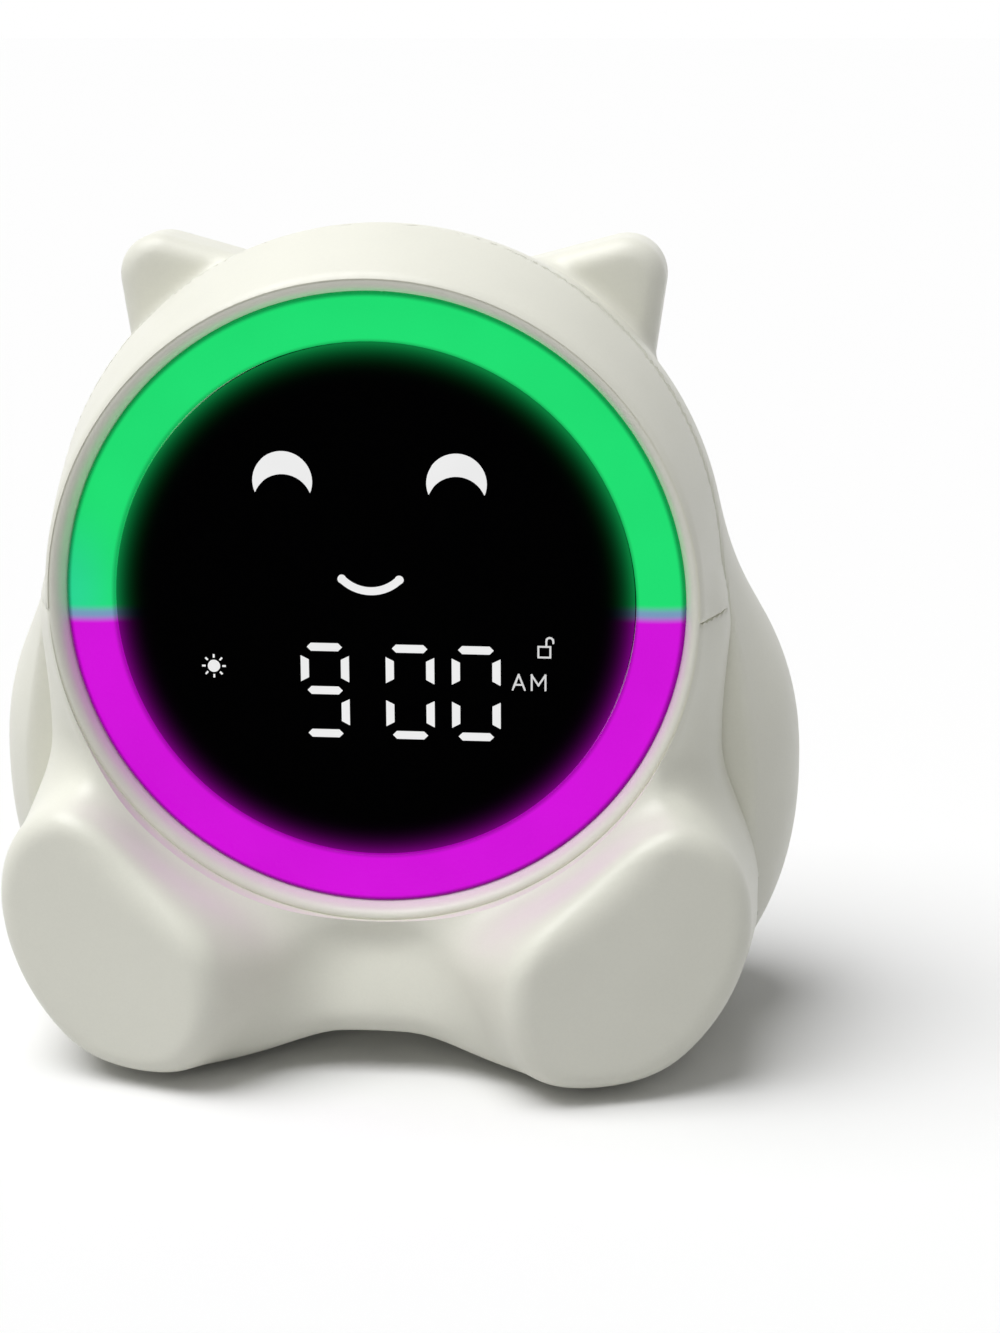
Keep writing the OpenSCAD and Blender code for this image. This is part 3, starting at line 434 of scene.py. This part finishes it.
def smooth(piece, sharp):
    """Shades the piece smooth, apart from its edges over so many degrees."""
    piece.data.shade_smooth()
    made = bmesh.new()
    made.from_mesh(piece.data)
    limit = math.radians(sharp)
    for edge in made.edges:
        edge.smooth = len(edge.link_faces) == 2 and edge.calc_face_angle(0) < limit
    made.to_mesh(piece.data)
    made.free()


def cut_away(piece, cutter):
    """Takes the cutter's solid out of the piece, with the slower solver where the quick one can't."""
    before = len(piece.data.vertices)
    for solver in ("MANIFOLD", "EXACT"):
        cut = piece.modifiers.new("cut", "BOOLEAN")
        cut.solver = solver
        cut.operation = "DIFFERENCE"
        cut.object = cutter
        with bpy.context.temp_override(object=piece, active_object=piece):
            bpy.ops.object.modifier_apply(modifier=cut.name)
        piece.modifiers.clear()
        if len(piece.data.vertices) not in (0, before):
            break
    else:
        raise RuntimeError("the cut " + cutter.name + " didn't change " + piece.name)
    bpy.data.objects.remove(cutter)


def moulding(name, field, box, step, node, material, cutters):
    """A moulded shell: the zero surface of field inside a box, with crisp cut-outs."""
    points, quads = sampled(field, *box, step)
    new_piece(name, settled(field, points, step), quads, node, material, cutters)


def revolved_piece(name, profile, node, material):
    """A closed profile of (radius, depth) turned about the dial's axis."""
    turns = np.linspace(0, 2 * math.pi, ROUND, endpoint=False)
    points = [(r * math.cos(a), y, r * math.sin(a)) for a in turns for r, y in profile]
    n = len(profile)
    faces = [(i * n + j, i * n + (j + 1) % n, (i + 1) % ROUND * n + (j + 1) % n, (i + 1) % ROUND * n + j)
             for i in range(ROUND) for j in range(n)]
    new_piece(name, np.array(points), faces, node, material)


def solid_from(name, outline, low, high, axis="Y"):
    """A cutter in the dial's frame: an outline of (x, z), or of (x, y) along Z, between two levels."""
    sizes = settings()[0]
    made = bmesh.new()
    rims = []
    for level in (low, high):
        rim = []
        for a, b in outline:
            p = Vector((a, level, b)) if axis == "Y" else Vector((a, b, level))
            rim.append(made.verts.new(p * MM + Vector((0, sizes.dial_depth, sizes.dial_height))))
        rims.append(rim)
    made.faces.new(rims[0])
    made.faces.new(rims[1][::-1])
    count = len(rims[0])
    for i in range(count):
        j = (i + 1) % count
        made.faces.new((rims[0][j], rims[0][i], rims[1][i], rims[1][j]))
    bmesh.ops.recalc_face_normals(made, faces=made.faces)
    mesh = bpy.data.meshes.new(name)
    made.to_mesh(mesh)
    made.free()
    return link(name, mesh)


def circle(x, z, r, count=64):
    return [(x + r * math.cos(2 * math.pi * i / count), z + r * math.sin(2 * math.pi * i / count))
            for i in range(count)]


def round_rectangle(w, h, r, z, count=24):
    """A rectangle with round corners about (0, z), with count steps to each corner."""
    points = []
    for sx, sz, start in ((1, 1, 0), (-1, 1, 90), (-1, -1, 180), (1, -1, 270)):
        for i in range(count + 1):
            a = math.radians(start + 90 * i / count)
            points.append((sx * (w / 2 - r) + r * math.cos(a), z + sz * (h / 2 - r) + r * math.sin(a)))
    return points


def box_outline(x0, x1, y0, y1):
    return [(x0, y0), (x1, y0), (x1, y1), (x0, y1)]


# ---------------------------------------------------------------- cut-outs, in millimetres

THROUGH = 40.0                                    # further than any shell reaches from the dial
BEHIND = BACK + 6
RECESS_DEPTH, OPENING_INSET, OPENING_DEPTH = 2.6, 3.0, 8.0
WELL_R = 2.9
TOP_WELL = dict(x=18, z=57.65, floor=4, end=42)
LOW_WELL = dict(x=46, z=-52, floor=7, end=BEHIND)
BAY_WINDOW = box_outline(-24.55, 24.55, 17.55, 50.25)
BAY_HEIGHT = 12.0
DOOR = dict(front=33.6 - 19, back=68, half=27.3, tongue_half=28.5, tongue_low=0.6, top=1.8)


def bore_cutters():
    """The round opening for the bezel, and the wider seat for its flange."""
    return [solid_from("bore", circle(0, 0, BORE_R, ROUND), -THROUGH, THROUGH),
            solid_from("flange seat", circle(0, 0, FLANGE_R + GAP, ROUND), SEAM - FLANGE_DEPTH, THROUGH)]


def panel_cutters():
    """The rear panel's recess and the opening inside it."""
    w, h, r, z = PANEL["w"], PANEL["h"], PANEL["r"], PANEL["z"]
    recess = round_rectangle(w + 2 * GAP, h + 2 * GAP, r + GAP, z)
    opening = round_rectangle(w - 2 * OPENING_INSET, h - 2 * OPENING_INSET, r - OPENING_INSET, z)
    return [solid_from("panel recess", recess, BACK - RECESS_DEPTH + GAP, BEHIND),
            solid_from("panel opening", opening, BACK - OPENING_DEPTH, BEHIND)]


def well_cutters():
    """The wells of the four housing screws."""
    return [solid_from("screw well", circle(side * well["x"], well["z"], WELL_R),
                       SEAM + well["floor"] + GAP, well["end"])
            for side in (-1, 1) for well in (TOP_WELL, LOW_WELL)]


def bay_cutters():
    """The battery bay's window in the underside, and the door's slot with its grooves."""
    slot = box_outline(-DOOR["half"], DOOR["half"], DOOR["front"], DOOR["back"])
    grooves = box_outline(-DOOR["tongue_half"], DOOR["tongue_half"], DOOR["front"], DOOR["back"])
    return [solid_from("bay window", BAY_WINDOW, UNDER - 1, UNDER + BAY_HEIGHT, "Z"),
            solid_from("door slot", slot, UNDER - 1, UNDER + DOOR["top"], "Z"),
            solid_from("door grooves", grooves, UNDER + DOOR["tongue_low"], UNDER + DOOR["top"], "Z")]


# ---------------------------------------------------------------- finishes

class Nodes:
    """A node tree that is written down one node at a time."""

    def __init__(self, tree):
        self.tree = tree

    def add(self, kind, **values):
        node = self.tree.nodes.new(kind)
        for key, value in values.items():
            setattr(node, key, value)
        return node

    def link(self, a, b):
        self.tree.links.new(a, b)

    def set(self, socket, value):
        if isinstance(value, bpy.types.NodeSocket):
            self.link(value, socket)
        elif hasattr(value, "__len__"):
            value = tuple(value)
            socket.default_value = value + (1.0,) if len(value) == 3 and socket.type == "RGBA" else value
        else:
            socket.default_value = value

    def math(self, operation, a, b=None):
        node = self.add("ShaderNodeMath", operation=operation)
        for socket, value in zip(node.inputs, (a, b)):
            if value is not None:
                self.set(socket, value)
        return node.outputs[0]

    def spread(self, value, low, high, to_low=0.0, to_high=1.0, smooth_step=False):
        """The value's range from low to high, drawn out to another range."""
        node = self.add("ShaderNodeMapRange")
        if smooth_step:
            node.interpolation_type = "SMOOTHSTEP"
        for socket, given in zip(node.inputs, (value, low, high, to_low, to_high)):
            self.set(socket, given)
        return node.outputs[0]


class Finish(Nodes):
    """A node material, placed by the piece's own coordinates."""

    def __init__(self, name):
        self.material = bpy.data.materials.new(name)
        self.material.use_nodes = True
        super().__init__(self.material.node_tree)
        self.tree.nodes.clear()
        self.out = self.add("ShaderNodeOutputMaterial")
        self.place = self.add("ShaderNodeTexCoord").outputs["Object"]

    def mix(self, factor, a, b):
        node = self.add("ShaderNodeMix", data_type="RGBA")
        self.set(node.inputs["Factor"], factor)
        self.set(node.inputs[6], a)
        self.set(node.inputs[7], b)
        return node.outputs[2]

    def noise(self, scale, detail=2.0, rough=0.5):
        node = self.add("ShaderNodeTexNoise")
        node.inputs["Scale"].default_value = scale
        node.inputs["Detail"].default_value = detail
        node.inputs["Roughness"].default_value = rough
        self.link(self.place, node.inputs["Vector"])
        return node.outputs["Fac"]

    def wander(self, scale, low, high, detail=2.0):
        """A value that drifts between low and high over the surface."""
        return self.spread(self.noise(scale, detail), 0.3, 0.7, low, high)

    def split(self, vector=None):
        node = self.add("ShaderNodeSeparateXYZ")
        self.link(vector or self.place, node.inputs[0])
        return node.outputs

    def bump(self, height, distance, strength):
        node = self.add("ShaderNodeBump")
        node.inputs["Strength"].default_value = strength
        node.inputs["Distance"].default_value = distance
        self.link(height, node.inputs["Height"])
        return node.outputs[0]

    def shader(self, **values):
        """The surface, and the material it makes."""
        node = self.add("ShaderNodeBsdfPrincipled")
        for key, value in values.items():
            self.set(node.inputs[key.replace("_", " ")], value)
        self.link(node.outputs[0], self.out.inputs[0])
        return self.material


def shade(tint, factor, lift=0.0):
    """The tint made darker or lighter."""
    return tuple(min(1, v * factor + lift) for v in tint)


def moulded_plastic(name, tint, rough=0.42, coat=0.12):
    """Satin moulded plastic: faint cloudiness, fine spark-eroded grain and a soft sheen."""
    f = Finish(name)
    cloud = f.wander(38, 0, 1, 3)
    speck = f.spread(f.noise(1900, 2, 0.7), 0.35, 0.65)
    mottle = f.math("ADD", f.math("MULTIPLY", cloud, 0.75), f.math("MULTIPLY", speck, 0.25))
    grain = f.math("ADD", f.noise(2600, 3, 0.6), f.math("MULTIPLY", f.noise(260), 0.6))
    return f.shader(Base_Color=f.mix(mottle, shade(tint, 0.955), shade(tint, 1.015)),
                    Roughness=f.wander(420, rough - 0.05, rough + 0.06, 3),
                    Coat_Weight=coat, Coat_Roughness=0.32, Normal=f.bump(grain, 0.04 * MM, 0.35))


COOL_FROM, COOL_TO, COOL_TOP = -42 * MM, -54 * MM, 20 * MM   # the ring's left end, above the dial's centre
CHANGE_TILT = 0.0194                                         # slope of the line between the two colours


def ring_light(f, z):
    """The ring's two colours by height: the upper, cooler at its left end, mixed into the lower."""
    sizes, colours, _ = settings()
    x = f.split()[0]
    cool = f.math("MULTIPLY", f.spread(x, COOL_FROM, COOL_TO, 0, 1, True),
                  f.spread(z, sizes.dial_height + COOL_TOP, sizes.dial_height, 0, 1, True))
    upper = f.mix(cool, colours.upper_light, colours.side_light)
    above = f.math("SUBTRACT", z, f.math("MULTIPLY", x, CHANGE_TILT))
    middle, half = sizes.dial_height - sizes.blend_height, sizes.blend_width / 2
    upper = f.mix(f.spread(above, middle + half, middle, 0, 1, True), upper, colours.middle_light)
    return f.mix(f.spread(above, middle, middle - half, 0, 1, True), upper, colours.lower_light)


def radius_from_dial(f):
    """Distance from the dial's axis and height above the table, in metres."""
    x, _, z = f.split()
    up = f.math("SUBTRACT", z, settings()[0].dial_height)
    square = f.math("ADD", f.math("MULTIPLY", x, x), f.math("MULTIPLY", up, up))
    return f.math("SQRT", square), z


def diffuser_finish():
    """Opal diffuser lit from behind by a ring of lamps, darker along both its edges."""
    inner_light, inner_band = 0.62, 0.7 * MM
    outer_light, outer_band = 0.35, 0.9 * MM
    f = Finish("lit opal diffuser")
    sizes = settings()[0]
    r, z = radius_from_dial(f)
    glow = ring_light(f, z)
    edge = f.math("MULTIPLY",
                  f.spread(r, sizes.ring_inner, sizes.ring_inner + inner_band, inner_light, 1, True),
                  f.spread(r, sizes.ring_outer, sizes.ring_outer - outer_band, outer_light, 1, True))
    cloud = f.wander(60, 0.97, 1.03)
    return f.shader(Base_Color=f.mix(0.85, glow, (0.0, 0.0, 0.0)), Roughness=f.wander(300, 0.2, 0.3),
                    Emission_Color=glow, Emission_Strength=f.math("MULTIPLY", edge, cloud),
                    Specular_IOR_Level=0.06, Normal=f.bump(f.noise(1500), 0.02 * MM, 0.3))


def display_finish():
    """Smoked lens: black, with the ring's light bleeding in from its rim."""
    bleed, fall, far_fall = 0.34, -0.62, -0.075   # strength at the rim, and its exponent in millimetres
    f = Finish("smoked display lens")
    sizes, colours, _ = settings()
    r, z = radius_from_dial(f)
    inward = f.math("DIVIDE", f.math("SUBTRACT", sizes.ring_inner, r), MM)
    exponent = f.math("ADD", f.math("MULTIPLY", inward, fall),
                      f.math("MULTIPLY", f.math("MULTIPLY", inward, inward), far_fall))
    return f.shader(Base_Color=f.mix(f.noise(700), colours.display, shade(colours.display, 1.6)),
                    Roughness=f.wander(500, 0.34, 0.40), Specular_IOR_Level=0.0,
                    Emission_Color=ring_light(f, z),
                    Emission_Strength=f.math("MULTIPLY", f.math("EXPONENT", exponent), bleed),
                    Normal=f.bump(f.noise(1800), 0.01 * MM, 0.2))


def sign_finish():
    """Translucent white windows lit evenly from behind, with the small signs at the right dimmer."""
    small_from, small_to, small_light = 22.5 * MM, 23.5 * MM, 0.8
    f = Finish("lit white windows")
    even = f.wander(90, 0.96, 1.0)
    dimmed = f.spread(f.split()[0], small_from, small_to, 1.0, small_light)
    return f.shader(Base_Color=(0.02, 0.02, 0.02), Roughness=0.5, Specular_IOR_Level=0.1,
                    Emission_Color=settings()[1].sign, Emission_Strength=f.math("MULTIPLY", even, dimmed),
                    Normal=f.bump(f.noise(1500), 0.01 * MM, 0.2))


def button_finish():
    """Push buttons: moulded caps with ink in the sunken signs."""
    ink_high, ink_low, ink_facing = 0.15 * MM, 0.33 * MM, 0.6
    f = Finish("button caps")
    colours = settings()[1]
    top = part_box("time_button")[1].y
    y = f.split()[1]
    facing = f.split(f.add("ShaderNodeNewGeometry").outputs["Normal"])[1]
    sunk = f.math("MULTIPLY", f.math("LESS_THAN", y, top - ink_high),
                  f.math("GREATER_THAN", y, top - ink_low))
    ink = f.math("MULTIPLY", sunk, f.math("GREATER_THAN", facing, ink_facing))
    body = f.mix(f.noise(900, 3), shade(colours.button, 0.96), colours.button)
    return f.shader(Base_Color=f.mix(ink, body, colours.ink), Roughness=f.wander(500, 0.38, 0.5),
                    Coat_Weight=0.1, Coat_Roughness=0.3, Normal=f.bump(f.noise(2600, 3), 0.03 * MM, 0.3))


def rubber_finish():
    """Dusty matt rubber."""
    f = Finish("rubber feet")
    tint = settings()[1].rubber
    dust = f.spread(f.noise(700, 4, 0.7), 0.45, 0.75)
    return f.shader(Base_Color=f.mix(dust, tint, shade(tint, 1.7)), Roughness=0.82,
                    Specular_IOR_Level=0.3, Normal=f.bump(f.noise(2200, 3), 0.06 * MM, 0.6))


def steel_finish():
    """Plated steel with fine turning marks."""
    f = Finish("plated steel")
    tint = settings()[1].steel
    marks = f.noise(2400, 2, 0.6)
    return f.shader(Base_Color=f.mix(f.noise(500, 3), shade(tint, 0.86), tint), Metallic=1.0,
                    Roughness=f.spread(marks, 0.3, 0.7, 0.24, 0.42), Normal=f.bump(marks, 0.02 * MM, 0.4))


def board_finish():
    """Solder mask over copper tracks."""
    f = Finish("solder mask")
    tint = settings()[1].board
    tracks = f.add("ShaderNodeTexBrick")
    f.link(f.place, tracks.inputs["Vector"])
    tracks.inputs["Scale"].default_value = 260
    tracks.inputs["Mortar Size"].default_value = 0.04
    copper = f.math("MULTIPLY", tracks.outputs["Fac"], f.spread(f.noise(55), 0.42, 0.58))
    return f.shader(Base_Color=f.mix(copper, tint, shade(tint, 2.4, 0.02)),
                    Roughness=f.wander(600, 0.22, 0.36), Coat_Weight=0.4, Coat_Roughness=0.15,
                    Normal=f.bump(copper, 0.03 * MM, 0.5))


def black_finish(name, rough):
    """Matt black moulding or resin."""
    f = Finish(name)
    tint = settings()[1].black
    return f.shader(Base_Color=f.mix(f.noise(800, 3), tint, shade(tint, 1.8)),
                    Roughness=f.wander(900, rough - 0.08, rough + 0.08),
                    Normal=f.bump(f.noise(2400), 0.04 * MM, 0.5))


def lamp_finish():
    """Small moulded lamps: yellow phosphor under a clear dome."""
    f = Finish("lamp phosphor")
    spot = f.spread(f.noise(1300), 0.4, 0.6)
    return f.shader(Base_Color=f.mix(spot, (0.85, 0.80, 0.45), (0.92, 0.92, 0.86)), Roughness=0.3,
                    Coat_Weight=0.5, Coat_Roughness=0.1, Normal=f.bump(spot, 0.02 * MM, 0.3))


def cell_finish():
    """Printed cell sleeve in two plain bands with bare metal ends."""
    band_x, bare_x = -9 * MM, 20.6 * MM
    silver, bare_metal = (0.62, 0.63, 0.65), (0.60, 0.60, 0.62)
    f = Finish("cell sleeve")
    x = f.split()[0]
    band = f.math("LESS_THAN", x, band_x)
    bare = f.math("GREATER_THAN", f.math("ABSOLUTE", x), bare_x)
    sleeve = f.mix(band, settings()[1].cell, silver)
    return f.shader(Base_Color=f.mix(bare, sleeve, bare_metal),
                    Metallic=f.math("MULTIPLY", f.math("MAXIMUM", band, bare), 0.9),
                    Roughness=f.wander(300, 0.22, 0.34), Coat_Weight=0.3, Coat_Roughness=0.1,
                    Normal=f.bump(f.noise(700), 0.02 * MM, 0.3))


def dress(material, *nodes):
    """Gives carried-over CAD nodes their finish."""
    for name in nodes:
        mesh = NODES[name].data
        mesh.materials.clear()
        mesh.materials.append(material)


# ---------------------------------------------------------------- operators

# The boxes that the mouldings are sampled in, in millimetres from the dial's centre
FRONT_BOX = (-67, -24, -84.4), (67, 13.6, 3)
HOOD_BOX = (-64, -6, -3), (64, 14, 66.5)
REAR_BOX = (-76, 12, -84.4), (76, 66, 67)
# The bezel's profile, as (radius, depth) from the dial's centre: the rounded lip, then the flanged seat
BEZEL_LIP = [(56.7, -3.55), (56.45, -3.68), (56.15, -3.72), (55.8, -3.6), (55.4, -3.3), (55.05, -2.85),
             (54.75, -2.25), (54.5, -1.5), (54.33, -0.7), (54.22, 0.2)]
BEZEL_SEAT = [(54.2, 1.2), (54.8, 1.2), (54.8, 12.8), (57.7, 12.8), (57.7, 11.5), (56.7, 11.5)]
KEY_TOWARD = (-0.35, -0.15, 1)


class ClockOperator:
    bl_options = {"REGISTER", "UNDO"}

    def execute(self, context):
        self.build()
        return {"FINISHED"}


class CLOCK_OT_front_shell(ClockOperator, bpy.types.Operator):
    """Moulds the front shell with the belly, the legs and the round opening for the dial"""
    bl_idname = "clock.front_shell"
    bl_label = "Front shell"

    def build(self):
        sizes, colours, _ = settings()
        finish = moulded_plastic("shell plastic", colours.shell)
        moulding("front_moulding", front_moulding, FRONT_BOX, sizes.fine_step / MM, "front_shell", finish,
                 bore_cutters())


class CLOCK_OT_head_hood(ClockOperator, bpy.types.Operator):
    """Moulds the hood over the upper half of the head"""
    bl_idname = "clock.head_hood"
    bl_label = "Head hood"

    def build(self):
        sizes, colours, _ = settings()
        finish = moulded_plastic("hood plastic", colours.shell)
        moulding("hood_moulding", hood_moulding, HOOD_BOX, sizes.fine_step / MM, "head_hood", finish,
                 bore_cutters())


class CLOCK_OT_rear_shell(ClockOperator, bpy.types.Operator):
    """Moulds the pear-shaped rear shell with its two ears, and cuts its recesses"""
    bl_idname = "clock.rear_shell"
    bl_label = "Rear shell"

    def build(self):
        sizes, colours, _ = settings()
        finish = moulded_plastic("shell plastic rear", colours.shell)
        moulding("rear_moulding", rear_moulding, REAR_BOX, sizes.rear_step / MM, "rear_shell", finish,
                 panel_cutters() + well_cutters() + bay_cutters())


class CLOCK_OT_dial(ClockOperator, bpy.types.Operator):
    """Finishes the bezel, the glowing ring, the smoked lens and the lit signs, and what is behind them"""
    bl_idname = "clock.dial"
    bl_label = "Dial"

    def build(self):
        finish = moulded_plastic("bezel plastic", settings()[1].shell)
        revolved_piece("bezel", BEZEL_LIP + BEZEL_SEAT, "bezel_ring", finish)
        dress(diffuser_finish(), "light_diffuser")
        dress(display_finish(), "display_lens")
        dress(sign_finish(), "icon_guide")
        dress(black_finish("light shield", 0.8), "light_shield")
        dress(moulded_plastic("reflector plastic", (0.86, 0.86, 0.84), 0.6, 0.0), "ring_reflector")
        dress(moulded_plastic("chassis plastic", (0.62, 0.62, 0.58), 0.5, 0.0), "face_chassis")


class CLOCK_OT_rear_panel(ClockOperator, bpy.types.Operator):
    """Finishes the rear panel, its push buttons and the battery door"""
    bl_idname = "clock.rear_panel"
    bl_label = "Rear panel"

    def build(self):
        dress(moulded_plastic("panel plastic", settings()[1].panel), "rear_panel", "battery_door")
        dress(button_finish(), *[name + "_button" for name in BUTTONS])


class CLOCK_OT_electronics(ClockOperator, bpy.types.Operator):
    """Finishes the boards, chips, lamps, switches and speaker"""
    bl_idname = "clock.electronics"
    bl_label = "Electronics"

    def build(self):
        dress(board_finish(), "front_board", "main_board", "button_board", "power_board")
        dress(lamp_finish(), "ring_lamps", "display_lamps")
        dress(black_finish("chip resin", 0.5), "board_chips", "button_switches")
        dress(black_finish("speaker frame", 0.45), "speaker")


class CLOCK_OT_battery_bay(ClockOperator, bpy.types.Operator):
    """Finishes the battery box and its cells"""
    bl_idname = "clock.battery_bay"
    bl_label = "Battery bay"

    def build(self):
        dress(black_finish("battery box plastic", 0.6), "battery_box")
        dress(cell_finish(), "battery_cells")


class CLOCK_OT_hardware(ClockOperator, bpy.types.Operator):
    """Finishes the screws, contacts, socket and rubber feet"""
    bl_idname = "clock.hardware"
    bl_label = "Hardware"

    def build(self):
        dress(steel_finish(), "housing_screws", "dial_screws", "panel_screws", "board_screws",
              "battery_contacts", "usb_socket")
        dress(rubber_finish(), "rubber_feet")


def seen_rays(nodes):
    """1 for the rays that show a surface, straight, mirrored or through a clear piece, and 0 for others."""
    path = nodes.add("ShaderNodeLightPath").outputs
    return nodes.math("MAXIMUM", path["Is Camera Ray"],
                      nodes.math("MAXIMUM", path["Is Glossy Ray"], path["Is Transmission Ray"]))


class CLOCK_OT_stage(ClockOperator, bpy.types.Operator):
    """Sets the floor, the soft studio light and the camera"""
    bl_idname = "clock.stage"
    bl_label = "Stage"

    def build(self):
        self.floor()
        self.world()
        self.key_light()
        self.camera()
        bpy.context.scene.view_settings.view_transform = "Standard"

    def floor(self):
        """A wide floor that looks white, and returns less light than it seems to."""
        _, colours, stage = settings()
        made = bmesh.new()
        bmesh.ops.create_grid(made, x_segments=2, y_segments=2, size=6)
        mesh = bpy.data.meshes.new("studio_floor")
        made.to_mesh(mesh)
        made.free()
        piece = link("studio_floor", mesh)
        f = Finish("studio floor")
        pale = f.mix(f.noise(3), colours.floor, shade(colours.floor, 0.995))
        mesh.materials.append(f.shader(Base_Color=f.mix(seen_rays(f), (stage.floor_bounce,) * 3, pale),
                                       Roughness=0.9, Specular_IOR_Level=0.0))

    def world(self):
        """White where it is seen, and an even, weaker light on everything."""
        world = bpy.data.worlds.new("studio")
        bpy.context.scene.world = world
        world.use_nodes = True
        nodes = Nodes(world.node_tree)
        background = nodes.tree.nodes["Background"]
        nodes.set(background.inputs["Color"], (1, 1, 1))
        strength = nodes.spread(seen_rays(nodes), 0, 1, settings()[2].world_light, 1)
        nodes.link(strength, background.inputs["Strength"])

    def key_light(self):
        """One broad light from above, a little from the left and the front."""
        stage = settings()[2]
        light = bpy.data.lights.new("key light", "SUN")
        light.energy = stage.key_light
        light.angle = stage.key_spread
        lamp = link("key light", light)
        lamp.location = KEY_TOWARD
        lamp.rotation_euler = (-Vector(KEY_TOWARD)).to_track_quat("-Z", "Y").to_euler()

    def camera(self):
        """The camera as the photograph was taken: turned, looking down and hardly tilted."""
        stage = settings()[2]
        camera = link("camera", bpy.data.cameras.new("camera"))
        camera.location = (stage.camera_x, stage.camera_y, stage.camera_z)
        turns = ((stage.yaw, "Z"), (math.pi / 2 - stage.pitch, "X"), (stage.roll, "Z"))
        yaw, pitch, roll = [Matrix.Rotation(turn, 3, axis) for turn, axis in turns]
        camera.rotation_euler = (yaw @ pitch @ roll).to_euler()
        camera.data.sensor_width = 36
        camera.data.lens = stage.lens
        camera.data.clip_start = 0.01
        bpy.context.scene.camera = camera


class CLOCK_PT_panel(bpy.types.Panel):
    bl_label = "Kids alarm clock"
    bl_idname = "CLOCK_PT_panel"
    bl_space_type = "VIEW_3D"
    bl_region_type = "UI"
    bl_category = "Clock"

    def draw(self, context):
        for operator in OPERATORS:
            self.layout.operator(operator.bl_idname)


OPERATORS = (CLOCK_OT_front_shell, CLOCK_OT_head_hood, CLOCK_OT_rear_shell, CLOCK_OT_dial,
             CLOCK_OT_rear_panel, CLOCK_OT_electronics, CLOCK_OT_battery_bay, CLOCK_OT_hardware,
             CLOCK_OT_stage)
GROUPS = (("clock_sizes", ClockSizes), ("clock_colours", ClockColours), ("clock_stage", StageSettings))
CLASSES = tuple(group for _, group in GROUPS) + OPERATORS + (CLOCK_PT_panel,)


def register():
    for made in CLASSES:
        bpy.utils.register_class(made)
    for name, group in GROUPS:
        setattr(bpy.types.Scene, name, PointerProperty(type=group))


def unregister():
    for name, _ in GROUPS:
        delattr(bpy.types.Scene, name)
    for made in reversed(CLASSES):
        bpy.utils.unregister_class(made)


def main():
    register()
    for operator in OPERATORS:
        group, name = operator.bl_idname.split(".")
        getattr(getattr(bpy.ops, group), name)()


if __name__ == "__main__":
    main()
